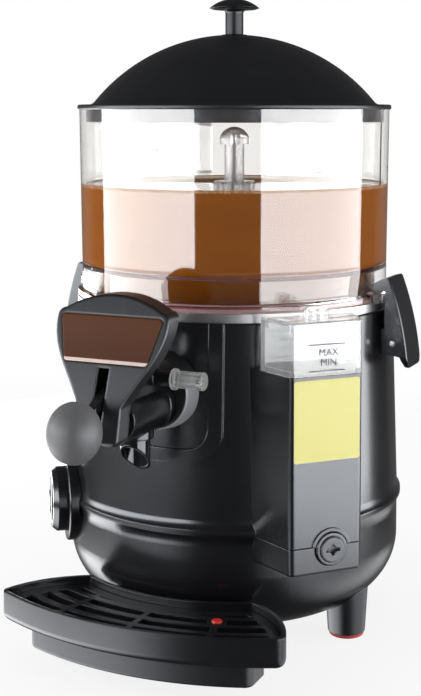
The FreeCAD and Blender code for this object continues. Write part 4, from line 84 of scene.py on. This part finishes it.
class Field:
    """One output socket of a finish.  Arithmetic on it adds the maths nodes."""

    def __init__(self, finish, socket):
        self.finish = finish
        self.socket = socket

    def maths(self, operation, first, second):
        return self.finish.add("ShaderNodeMath", {"operation": operation}, {0: first, 1: second})

    def __add__(self, other):
        return self.maths("ADD", self, other)

    def __radd__(self, other):
        return self.maths("ADD", other, self)

    def __sub__(self, other):
        return self.maths("SUBTRACT", self, other)

    def __rsub__(self, other):
        return self.maths("SUBTRACT", other, self)

    def __mul__(self, other):
        return self.maths("MULTIPLY", self, other)

    def __rmul__(self, other):
        return self.maths("MULTIPLY", other, self)

    def __abs__(self):
        return self.maths("ABSOLUTE", self, 0.0)

    def at_least(self, other):
        return self.maths("MAXIMUM", self, other)

    def at_most(self, other):
        return self.maths("MINIMUM", self, other)

    def output(self, name):
        return Field(self.finish, self.socket.node.outputs[name])


class Finish:
    """Builds the nodes of one material or of the world."""

    def __init__(self, owner):
        owner.use_nodes = True
        self.owner = owner
        self.tree = owner.node_tree
        self.tree.nodes.clear()

    def add(self, kind, settings, inputs, output=0):
        node = self.tree.nodes.new(kind)
        for key, value in settings.items():
            setattr(node, key, value)
        for key, value in inputs.items():
            if isinstance(value, Field):
                self.tree.links.new(value.socket, node.inputs[key])
            else:
                node.inputs[key].default_value = value
        return Field(self, node.outputs[output])

    def place(self, stretch=(1.0, 1.0, 1.0), centre=(0.0, 0.0, 0.0)):
        """Object coordinates about a point, stretched."""
        here = self.add("ShaderNodeTexCoord", {}, {}, "Object")
        shifted = self.add("ShaderNodeVectorMath", {"operation": "SUBTRACT"}, {0: here, 1: centre})
        return self.add("ShaderNodeMapping", {"vector_type": "POINT"},
                        {"Vector": shifted, "Scale": stretch})

    def noise(self, scale, detail=3.0, stretch=(1.0, 1.0, 1.0)):
        return self.add("ShaderNodeTexNoise", {},
                        {"Vector": self.place(stretch), "Scale": scale, "Detail": detail})

    def height(self, place):
        """Z of a place."""
        return self.add("ShaderNodeSeparateXYZ", {}, {0: place}, "Z")

    def reach(self, place):
        """Distance of a place from where it is centred."""
        return self.add("ShaderNodeVectorMath", {"operation": "LENGTH"}, {0: place}, "Value")

    def along(self, place, direction):
        """How far a place lies along a direction."""
        return self.add("ShaderNodeVectorMath", {"operation": "DOT_PRODUCT"},
                        {0: place, 1: direction}, "Value")

    def ease(self, value, start, end):
        """0 below start, 1 above end, smooth between."""
        return self.add("ShaderNodeMapRange", {"interpolation_type": "SMOOTHSTEP"},
                        {"Value": value, "From Min": start, "From Max": end})

    def band(self, value, start, end, soft):
        """1 between start and end, 0 outside, with soft edges."""
        return self.ease(value, start, start + soft) * (1.0 - self.ease(value, end - soft, end))

    def mix(self, factor, first, second):
        return self.add("ShaderNodeMix", {"data_type": "RGBA"}, {0: factor, 6: first, 7: second}, 2)

    def bump(self, height, depth, strength=1.0, rounding=0.0):
        """Relief from a height.  Its depth is in millimetres, and so is the rounding that lets
        sharp edges catch the light."""
        relief = self.add("ShaderNodeBump", {},
                          {"Height": height, "Distance": depth * MM, "Strength": strength})
        if rounding:
            soft = self.add("ShaderNodeBevel", {"samples": 6}, {"Radius": rounding * MM})
            self.tree.links.new(soft.socket, relief.socket.node.inputs["Normal"])
        return relief

    def shader(self, **inputs):
        named = {key.replace("_", " "): value for key, value in inputs.items()}
        return self.add("ShaderNodeBsdfPrincipled", {}, named)

    def finished(self, surface, kind="ShaderNodeOutputMaterial"):
        node = self.tree.nodes.new(kind)
        self.tree.links.new(surface.socket, node.inputs["Surface"])
        return self.owner


def new_finish(name):
    return Finish(bpy.data.materials.new(name))


def moulded(name, colour, rough, grain=0.5, specular=0.5, rounding=0.9):
    """Injection-moulded plastic: fine spark-eroded grain, cloudy gloss, faint wiping marks."""
    f = new_finish(name)
    fine = f.noise(SPARK_GRAIN, 2.0)
    cloud = f.noise(16.0, 4.0)
    wiped = f.noise(70.0, 3.0, (1.0, 1.0, 0.12))
    dusty = f.ease(wiped, 0.55, 0.8)
    body = f.mix(cloud, tinted(colour, 0.82), tinted(colour, 1.2))
    return f.finished(f.shader(
        Base_Color=f.mix(dusty * 0.35, body, tinted(colour, 1.7)),
        Roughness=rough + (cloud - 0.5) * 0.05 + dusty * 0.03,
        Specular_IOR_Level=specular,
        Specular_Tint=rgb(0.9, 0.94, 1.0),
        Normal=f.bump(fine, 0.03, grain, rounding)))


def metal(name, colour, rough, stretch, scale, depth):
    """Metal with cast grain, or with brush or lathe marks where the grain is stretched."""
    f = new_finish(name)
    marks = f.noise(scale, 3.0, stretch)
    cloud = f.noise(22.0, 3.0)
    return f.finished(f.shader(
        Base_Color=f.mix(cloud, tinted(colour, 0.9), tinted(colour, 1.06)),
        Metallic=1.0,
        Roughness=rough + (marks - 0.5) * 0.16 + (cloud - 0.5) * 0.08,
        Normal=f.bump(marks, depth, 0.6)))


def see_through(name, colour, rough, shade, milk=0.0):
    """Clear moulded plastic, with a share of milky haze.  Shadow and diffuse rays pass through it
    tinted by the shade, so that what is behind it stays lit."""
    f = new_finish(name)
    haze = f.noise(38.0, 4.0)
    ripple = f.noise(26.0, 2.0, (1.0, 1.0, 0.25))
    pane = f.shader(
        Base_Color=colour,
        Roughness=rough + f.ease(haze, 0.5, 0.75) * 0.05,
        IOR=ACRYLIC_IOR,
        Transmission_Weight=1.0 - milk,
        Normal=f.bump(ripple, 0.08, 0.35))
    ray = f.add("ShaderNodeLightPath", {}, {}, "Is Shadow Ray")
    lit = ray.at_least(ray.output("Is Diffuse Ray"))
    open_air = f.add("ShaderNodeBsdfTransparent", {}, {"Color": shade})
    return f.finished(f.add("ShaderNodeMixShader", {}, {0: lit, 1: pane, 2: open_air}))


def rubber(name, colour, rough):
    """Matt rubber with a fine grain."""
    f = new_finish(name)
    fine = f.noise(900.0, 3.0)
    cloud = f.noise(60.0, 3.0)
    return f.finished(f.shader(
        Base_Color=f.mix(cloud, tinted(colour, 0.8), tinted(colour, 1.12)),
        Roughness=rough + (fine - 0.5) * 0.12,
        Specular_IOR_Level=0.35,
        Normal=f.bump(fine, 0.06, 0.5)))


def drink():
    """Hot chocolate: milky brown, a paler froth line where it meets the bowl."""
    f = new_finish("hot_chocolate")
    swirl = f.noise(30.0, 5.0, (1.0, 1.0, 2.5))
    froth = f.ease(f.height(f.place()), (DRINK_TOP - FROTH_DEPTH) * MM,
                   (DRINK_TOP - FROTH_DEPTH + 1.0) * MM)
    reach = f.reach(f.place((1.0, 1.0, 0.0), AXIS))
    open_top = froth * (1.0 - f.ease(reach, 104.0 * MM, 107.0 * MM))
    bubbles = f.ease(f.noise(420.0, 2.0), 0.48, 0.62)
    brown = f.mix(swirl, rgb(0.29, 0.084, 0.007), rgb(0.36, 0.11, 0.012))
    pale = f.mix(bubbles, rgb(0.5, 0.25, 0.1), rgb(0.72, 0.46, 0.28))
    return f.finished(f.shader(
        Base_Color=f.mix(froth * 0.85, brown, pale),
        Roughness=0.04 + (froth - open_top).at_least(0.0) * 0.2,
        Subsurface_Weight=0.12,
        Subsurface_Radius=(4.0 * MM, 2.0 * MM, 1.0 * MM),
        Specular_IOR_Level=0.48,
        Normal=f.bump(bubbles * (froth - open_top * 0.9), 0.2, 0.5)))


def sign_face():
    """Brown sign: darker towards the foot, with a painted highlight along its bottom edge."""
    low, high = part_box("sign_plate")
    f = new_finish("brown_sign")
    z = f.height(f.place())
    rise = f.ease(z, low.z, high.z)
    # Painted highlight: a pale strip along the bottom edge stands in for the light caught by the
    # plate's rounded front edge.
    lightened = 1.0 - f.ease(z, low.z + 2.0 * MM, low.z + 2.5 * MM)
    grain = f.noise(900.0, 2.0)
    face = f.mix(rise, rgb(0.072, 0.019, 0.004), rgb(0.1, 0.034, 0.011))
    return f.finished(f.shader(
        Base_Color=f.mix(lightened * 0.9, face, rgb(0.95, 0.76, 0.68)),
        Roughness=0.36 + (f.noise(40.0) - 0.5) * 0.06,
        Specular_IOR_Level=0.18,
        Normal=f.bump(grain, 0.01, 0.3)))


def flange_reflection():
    """Tap nut: dark moulded face; its sloping rim is painted pale grey except at the top, a painted
    reflection of the side lights.
    """
    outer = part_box("tap_nut")[1].x
    f = new_finish("flange_reflection")
    centre = middle("tap_nut")
    reach = f.reach(f.place((1.0, 0.0, 1.0), centre))
    z = f.height(f.place(centre=centre))
    # Painted reflection: the sloping rim is made pale grey where it would mirror the side lights,
    # and left dark at the top.
    rim = f.ease(reach, outer - 3.2 * MM, outer - 2.2 * MM)
    rim = rim * (1.0 - f.ease(z, 4.0 * MM, 14.0 * MM))
    cloud = f.noise(40.0, 4.0)
    grey = f.mix(cloud, rgb(0.42, 0.43, 0.46), rgb(0.48, 0.49, 0.52))
    return f.finished(f.shader(
        Base_Color=f.mix(rim, BLACK, grey),
        Roughness=0.4 + (cloud - 0.5) * 0.08,
        Normal=f.bump(f.noise(SPARK_GRAIN, 2.0), 0.03, 0.4, 0.6)))


def seal_rubber():
    """Pale pink sealing ring with a dark red lip along its top."""
    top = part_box("bowl_seal")[1].z
    f = new_finish("seal_rubber")
    lip = f.ease(f.height(f.place()), top - 1.3 * MM, top - 1.0 * MM)
    cloud = f.noise(90.0)
    pale = f.mix(cloud, rgb(0.5, 0.33, 0.33), rgb(0.6, 0.42, 0.42))
    return f.finished(f.shader(
        Base_Color=f.mix(lip * 0.9, pale, rgb(0.3, 0.035, 0.04)),
        Roughness=0.5 + (cloud - 0.5) * 0.1,
        Specular_IOR_Level=0.3,
        Normal=f.bump(f.noise(900.0), 0.04, 0.4)))


def sticker():
    """Plain yellow sticker, matt film with a slightly worn edge."""
    low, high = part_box("gauge_label")
    f = new_finish("yellow_sticker")
    z = f.height(f.place())
    edge = (high.z - z).at_most(z - low.z)
    lightened = (1.0 - f.ease(edge, 0.2 * MM, 1.6 * MM)) * f.ease(f.noise(180.0), 0.45, 0.65)
    paper = f.noise(520.0, 4.0)
    ink = f.mix(f.noise(12.0), rgb(0.9, 0.85, 0.25), rgb(0.94, 0.9, 0.32))
    return f.finished(f.shader(
        Base_Color=f.mix(lightened * 0.5, ink, rgb(0.95, 0.93, 0.7)),
        Roughness=0.42 + (paper - 0.5) * 0.12,
        Specular_IOR_Level=0.3,
        Normal=f.bump(paper, 0.02, 0.4)))


def lamp_lens():
    """Glossy amber lens, faceted on its inside."""
    f = new_finish("amber_lens")
    facets = f.noise(700.0, 1.0)
    return f.finished(f.shader(
        Base_Color=f.mix(facets, rgb(0.85, 0.28, 0.03), rgb(0.95, 0.42, 0.07)),
        Roughness=0.14 + facets * 0.06,
        Coat_Weight=0.6,
        Normal=f.bump(facets, 0.1, 0.5)))


def printed(name, colour):
    """Pad-printed ink, thin and slightly uneven."""
    f = new_finish(name)
    wear = f.ease(f.noise(1300.0, 3.0), 0.5, 0.72)
    return f.finished(f.shader(
        Base_Color=f.mix(wear * 0.35, colour, tinted(colour, 0.55)),
        Roughness=0.5 + wear * 0.2,
        Specular_IOR_Level=0.1))


EVEN = (1.0, 1.0, 1.0)
TURNED = (1.0, 1.0, 14.0)

FINISHES = {
    "housing_black": moulded("housing_black", BLACK, 0.21, specular=0.62),
    "lid_black": moulded("lid_black", BLACK, 0.36, 0.7),
    "leg_black": moulded("leg_black", BLACK, 0.33, 0.6),
    "tap_black": moulded("tap_black", BLACK, 0.2, 0.25, rounding=1.4),
    "cover_black": moulded("cover_black", BLACK, 0.37, 0.6, specular=0.6, rounding=2.0),
    "tray_black": moulded("tray_black", BLACK, 0.21, 0.8),
    "gloss_black": moulded("gloss_black", BLACK, 0.12, 0.1),
    "ball_black": moulded("ball_black", rgb(0.13, 0.13, 0.134), 0.48, 0.7, specular=0.28),
    "plug_grey": moulded("plug_grey", rgb(0.08, 0.081, 0.09), 0.34, 0.5),
    "flange_reflection": flange_reflection(),
    "white_plastic": moulded("white_plastic", rgb(0.72, 0.72, 0.69), 0.38, 0.3),
    "seal_rubber": seal_rubber(),
    "red_plastic": moulded("red_plastic", rgb(0.72, 0.035, 0.02), 0.25, 0.1),
    "bowl_clear": see_through("bowl_clear", rgb(0.985, 0.975, 0.965), 0.012,
                              rgb(0.96, 0.955, 0.95)),
    "box_clear": see_through("box_clear", rgb(0.975, 0.982, 0.985), 0.02,
                             rgb(0.95, 0.96, 0.96), 0.14),
    "pin_clear": see_through("pin_clear", rgb(0.86, 0.87, 0.86), 0.14,
                             rgb(0.8, 0.82, 0.82), 0.2),
    "stirrer_clear": see_through("stirrer_clear", rgb(0.93, 0.935, 0.95), 0.14,
                                 rgb(0.94, 0.94, 0.95), 0.35),
    "turned_steel": metal("turned_steel", rgb(0.42, 0.42, 0.43), 0.36, TURNED, 260.0, 0.012),
    "bright_steel": metal("bright_steel", rgb(0.78, 0.78, 0.77), 0.16, EVEN, 800.0, 0.005),
    "cast_metal": metal("cast_metal", rgb(0.5, 0.5, 0.5), 0.45, EVEN, 600.0, 0.06),
    "red_rubber": rubber("red_rubber", rgb(0.6, 0.05, 0.035), 0.55),
    "black_rubber": rubber("black_rubber", rgb(0.02, 0.02, 0.02), 0.6),
    "silicone": rubber("silicone", rgb(0.8, 0.78, 0.73), 0.4),
    "brown_sign": sign_face(),
    "yellow_sticker": sticker(),
    "amber_lens": lamp_lens(),
    "hot_chocolate": drink(),
    "white_ink": printed("white_ink", rgb(0.75, 0.75, 0.74)),
    "grey_ink": printed("grey_ink", rgb(0.12, 0.12, 0.13)),
}

# which pieces of the machine wear each finish
WORN_BY = {
    "housing_black": "upper_housing lower_housing front_panel base_cover drain_collar dial_bezel "
                     "cable_gland dial_knob latch_right latch_left latch_brackets",
    "lid_black": "lid lid_knob",
    "leg_black": "legs tray_support",
    "tap_black": "tap_body tap_cap lever",
    "cover_black": "tap_cover",
    "ball_black": "ball_knob",
    "tray_black": "drip_tray drip_grille",
    "gloss_black": "spout switch_case rocker safety_thermostat",
    "flange_reflection": "tap_nut",
    "plug_grey": "drain_plug",
    "white_plastic": "shaft_bushes thermostat plunger",
    "red_plastic": "float_indicator",
    "bowl_clear": "bowl",
    "box_clear": "gauge_vessel gauge_lid",
    "pin_clear": "pull_pin",
    "stirrer_clear": "stirrer stirrer_cap",
    "turned_steel": "product_tank water_tank heating_element outlet_pipe motor motor_bracket",
    "bright_steel": "base_screws lid_knob_screw drive_shaft dial_spindle tap_spring shield_screw "
                    "latch_pins",
    "cast_metal": "gearbox",
    "red_rubber": "rubber_feet",
    "seal_rubber": "bowl_seal",
    "black_rubber": "plunger_ring",
    "silicone": "balance_pipe",
    "brown_sign": "sign_plate",
    "yellow_sticker": "gauge_label",
    "amber_lens": "pilot_lamp",
}


def dress(obj, finish):
    obj.data.materials.clear()
    obj.data.materials.append(FINISHES[finish])


def dress_nodes():
    for finish, names in WORN_BY.items():
        for name in names.split():
            dress(nodes[name], finish)


# ---------------------------------------------------------------- pieces

def piece(name, mesh, finish, body):
    """A new piece at the origin, with its place in its mesh."""
    obj = bpy.data.objects.new(name, mesh)
    bpy.context.scene.collection.objects.link(obj)
    dress(obj, finish)
    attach(obj, body)
    return obj


def to_mesh(bm, name, smooth=True):
    bmesh.ops.recalc_face_normals(bm, faces=bm.faces)
    for face in bm.faces:
        face.smooth = smooth
    mesh = bpy.data.meshes.new(name)
    bm.to_mesh(mesh)
    bm.free()
    return mesh


def outline(bm, points):
    """Vertices and edges through points, closed."""
    verts = [bm.verts.new(p) for p in points]
    return verts + [bm.edges.new((a, b)) for a, b in zip(verts, verts[1:] + verts[:1])]


def lathe(name, profile):
    """A closed profile of (radius, height) in millimetres, spun round the stirrer's axis."""
    bm = bmesh.new()
    geom = outline(bm, [(AXIS.x + r * MM, AXIS.y, z * MM) for r, z in profile])
    bmesh.ops.spin(bm, geom=geom, cent=AXIS, axis=(0, 0, 1), angle=math.tau,
                   steps=SPIN_STEPS, use_merge=True)
    bmesh.ops.remove_doubles(bm, verts=bm.verts, dist=0.0001 * MM)
    return to_mesh(bm, name)


def facing(angle, stand, side, height):
    """Places a flat drawing (x right, y up, z out) on a wall that faces an angle off the tap, at a
    stand from the stirrer's axis, a way to the side and a height, all in millimetres."""
    turn = math.radians(angle)
    out = Vector((math.sin(turn), -math.cos(turn), 0.0))
    right = Vector((math.cos(turn), math.sin(turn), 0.0))
    up = Vector((0.0, 0.0, 1.0))
    place = Matrix((right, up, out)).transposed().to_4x4()
    place.translation = AXIS + out * stand * MM + right * side * MM + up * height * MM
    return place


def lettering(bm, text, size, place):
    """Adds flat letters to a mesh, centred on a place.  The size is in millimetres."""
    curve = bpy.data.curves.new("letters", "FONT")
    curve.body = text
    curve.size = size * MM
    curve.align_x = "CENTER"
    curve.align_y = "CENTER"
    curve.extrude = INK_THICK * MM / 2
    curve.resolution_u = 3
    holder = bpy.data.objects.new("letters", curve)
    mesh = bpy.data.meshes.new_from_object(holder)
    mesh.transform(place)
    bm.from_mesh(mesh)
    bpy.data.meshes.remove(mesh)
    bpy.data.objects.remove(holder)
    bpy.data.curves.remove(curve)


def bar(bm, width, height, place, thick=INK_THICK):
    """Adds a thin printed bar to a mesh.  Its sizes are in millimetres."""
    made = bmesh.ops.create_cube(bm, size=1.0)["verts"]
    bmesh.ops.scale(bm, vec=(width * MM, height * MM, thick * MM), verts=made)
    bmesh.ops.transform(bm, matrix=place, verts=made)


def make_drink():
    """A skin of hot chocolate against the bowl's wall, its surface open round the stirrer."""
    top = DRINK_TOP
    under = top - FROTH_DEPTH
    surface = [(STIRRER_HOLE_R, top), (109.4, top), (110.9, top + 0.35), (111.5, top + 0.9)]
    wetted = [(111.47, top - 1.5), (110.79, 269.0), (110.75, 266.8)]       # just into the wall
    step = [(108.2, 264.6), (102.9, 263.4), (102.9, 243.4)]                # down into the collar
    inside = [(102.1, 243.4), (102.1, 264.3), (107.8, 265.6), (109.0, 267.6), (109.0, under),
              (STIRRER_HOLE_R, under)]
    mesh = lathe("hot_chocolate", surface + wetted + step + inside)
    piece("hot_chocolate", mesh, "hot_chocolate", "housing")


def make_gauge_marks():
    """MAX and MIN with their level lines, printed on the clear front of the gauge box."""
    bm = bmesh.new()
    stand = GAUGE_FRONT + 0.08
    for word, word_z, line_z in (("MAX", 221.4, 226.8), ("MIN", 214.9, 209.6)):
        lettering(bm, word, 6.6, facing(GAUGE_DEG, stand, 1.0, word_z))
        bar(bm, 26.0, 0.6, facing(GAUGE_DEG, stand, 0.0, line_z))
    piece("gauge_marks", to_mesh(bm, "gauge_marks", False), "grey_ink", "housing")


def make_dial_marks():
    """Degrees on the turning knob, and the index line on its bezel."""
    bm = bmesh.new()
    face = facing(DIAL_DEG, DIAL_FACE + 0.05, 0.0, DIAL_Z)
    out = Matrix.Translation((0, 17.6 * MM, 0))
    for i, number in enumerate(("30", "40", "50", "60", "70", "80", "90")):
        turn = Matrix.Rotation(math.radians(135.0 - 45.0 * i), 4, "Z")
        lettering(bm, number, 3.4, face @ turn @ out)
    piece("dial_numbers", to_mesh(bm, "dial_numbers", False), "white_ink", "dial")
    bm = bmesh.new()
    bar(bm, 0.8, 4.2, facing(DIAL_DEG, DIAL_BEZEL + 0.05, 0.0, DIAL_Z + 27.0))
    piece("dial_index", to_mesh(bm, "dial_index", False), "white_ink", "housing")


def make_level_mark():
    """Thin broken fill line on the bowl, a little left of the tap, in short bars that follow the
    curve."""
    bm = bmesh.new()
    width = 14.0
    bars = 5
    for side in (-12.0, 12.0):
        for k in range(bars):
            step = side + width * (k - bars // 2) / bars
            turn = -6.0 + math.degrees(step / BOWL_FRONT_R)
            bar(bm, width / bars + 0.3, 0.5, facing(turn, BOWL_FRONT_R + 0.12, 0.0, FILL_LINE_Z),
                INK_THICK / 2)
    piece("level_mark", to_mesh(bm, "level_mark", False), "grey_ink", "housing")


# ---------------------------------------------------------------- floor, light and camera

CAMERA_AZIMUTH = math.radians(23.97)
CAMERA_PITCH = math.radians(4.0)
CAMERA_DISTANCE = 0.98302
CAMERA_HEIGHT = 0.37516
FOCAL_PIXELS = 1314.39
FRAME_W = 421
FRAME_H = 696
CENTRE_X = 234.4                # where the lens axis meets the frame, in pixels from its corner
CENTRE_Y = 205.36
LOOK = Vector((-math.sin(CAMERA_AZIMUTH), math.cos(CAMERA_AZIMUTH), 0.0))
RIGHT = Vector((math.cos(CAMERA_AZIMUTH), math.sin(CAMERA_AZIMUTH), 0.0))


def add_camera():
    data = bpy.data.cameras.new("camera")
    data.sensor_width = 36.0
    data.lens = FOCAL_PIXELS * data.sensor_width / FRAME_H
    data.shift_x = (FRAME_W / 2 - CENTRE_X) / FRAME_H
    data.shift_y = (CENTRE_Y - FRAME_H / 2) / FRAME_H
    data.clip_end = 50.0
    obj = bpy.data.objects.new("camera", data)
    obj.location = AXIS - LOOK * CAMERA_DISTANCE + Vector((0, 0, CAMERA_HEIGHT))
    obj.rotation_euler = (math.pi / 2 - CAMERA_PITCH, 0.0, CAMERA_AZIMUTH)
    bpy.context.scene.collection.objects.link(obj)
    bpy.context.scene.camera = obj


# Soft boxes: degrees round from the camera, distance, height of the middle, width, tallness,
# radiance, whether it shows in reflections and whether it lights the object.  All are level but
# those that only light, which are aimed at the middle of the machine.
LAMPS = {
    "left_box": (-68.5, 1.25, 0.26, 2.15, 0.48, 8.6, True, False),
    "low_left_box": (-145.0, 0.75, 0.01, 0.55, 0.32, 4.5, True, True),
    "right_box": (61.0, 1.25, 0.1, 2.3, 0.8, 8.3, True, False),
    "left_key": (-84.0, 1.6, 0.6, 1.0, 1.2, 5.2, False, True),
    "right_key": (84.0, 1.6, 0.6, 1.0, 1.2, 3.4, False, True),
    "overhead": (0.0, 0.2, 1.7, 1.2, 1.2, 1.0, False, True),
}
AIM_Z = 0.22


def add_lamp(name, side_deg, distance, height, width, tall, radiance, mirror, lights):
    turn = math.radians(side_deg)
    data = bpy.data.lights.new(name, "AREA")
    data.shape = "RECTANGLE"
    data.size = width
    data.size_y = tall
    data.energy = radiance * math.pi * width * tall
    obj = bpy.data.objects.new(name, data)
    direction = -LOOK * math.cos(turn) + RIGHT * math.sin(turn)
    obj.location = AXIS + direction * distance + Vector((0, 0, height))
    aim = -direction if mirror else AXIS + Vector((0, 0, AIM_Z)) - obj.location
    obj.rotation_euler = aim.to_track_quat("-Z", "Y").to_euler()
    obj.visible_diffuse = lights
    obj.visible_glossy = mirror
    obj.visible_transmission = mirror
    obj.visible_camera = False
    bpy.context.scene.collection.objects.link(obj)


# Grey flags in front of the white backdrop, seen only through the clear bowl.  Start and end of
# each as the sine of its angle to the side.
BACK_FLAGS = ((-0.083, -0.067), (-0.033, -0.019), (0.034, 0.05), (0.073, 0.092))
FLAG_EDGE = 0.003
FLAG_SHADE = 0.65
ROOM = 0.06                     # what gloss mirrors of the dark room
BACKDROP_GLOW = 0.08            # and of the backdrop, on top of that
FILL_LIGHT = 0.42


def studio():
    """The room: white where it is seen, also through clear pieces that look ahead, dark where
    gloss mirrors it but for the pale table at the sides, and an even fill for the rest."""
    f = Finish(bpy.data.worlds.new("studio"))
    seen = f.add("ShaderNodeLightPath", {}, {}, "Is Camera Ray")
    through = seen.output("Is Transmission Ray")
    glossy = seen.output("Is Glossy Ray")
    sky = f.add("ShaderNodeTexCoord", {}, {}, "Generated")
    heading = f.along(sky, LOOK)
    across = f.along(sky, RIGHT)
    z = f.height(sky)
    backdrop = f.ease(heading, 0.55, 0.85) * (1.0 - f.ease(z, 0.1, 0.45))
    table = (1.0 - f.ease(z, -0.4, -0.31)) * f.ease(abs(across), 0.4, 0.8)
    mirrored = ROOM + BACKDROP_GLOW * backdrop + table * (4.2 - 3.0 * across)
    ahead = f.ease(heading, 0.6, 0.8)
    flags = sum(f.band(across, start, end, FLAG_EDGE) for start, end in BACK_FLAGS)
    behind = ahead * (1.0 - FLAG_SHADE * flags) + (1.0 - ahead) * (mirrored + 0.1)
    rest = (1.0 - seen) * (1.0 - through)
    strength = seen + through * behind + rest * (glossy * mirrored + (1.0 - glossy) * FILL_LIGHT)
    room = f.add("ShaderNodeBackground", {}, {"Color": WHITE, "Strength": strength})
    return f.finished(room, "ShaderNodeOutputWorld")


def add_light():
    for name, settings in LAMPS.items():
        add_lamp(name, *settings)
    bpy.context.scene.world = studio()
    bpy.context.scene.view_settings.view_transform = "Standard"


FLOOR_R = 1.2
FLOOR_GLOW = 0.85


def floor_finish():
    """Pale floor that keeps a soft shadow and fades into the white room towards its rim."""
    f = new_finish("pale_floor")
    fade = f.ease(f.reach(f.place()), 0.5, 1.1)
    cloud = f.noise(3.0)
    ground = f.shader(
        Base_Color=f.mix(cloud, rgb(0.93, 0.93, 0.93), rgb(0.95, 0.95, 0.95)),
        Roughness=0.7 + cloud * 0.1,
        Specular_IOR_Level=0.2)
    glow = f.add("ShaderNodeEmission", {}, {"Color": WHITE, "Strength": 1.0})
    seen = f.add("ShaderNodeLightPath", {}, {}, "Is Camera Ray")
    pale = f.add("ShaderNodeMixShader", {}, {0: seen * FLOOR_GLOW, 1: ground, 2: glow})
    clear = f.add("ShaderNodeBsdfTransparent", {}, {})
    return f.finished(f.add("ShaderNodeMixShader", {}, {0: fade, 1: pale, 2: clear}))


def add_floor():
    bm = bmesh.new()
    bmesh.ops.create_circle(bm, cap_ends=True, segments=96, radius=FLOOR_R)
    obj = bpy.data.objects.new("floor", to_mesh(bm, "floor", False))
    obj.data.materials.append(floor_finish())
    bpy.context.scene.collection.objects.link(obj)
    obj.visible_glossy = False


# ---------------------------------------------------------------- all together

add_camera()
dress_nodes()
make_drink()
make_gauge_marks()
make_dial_marks()
make_level_mark()
add_floor()
add_light()
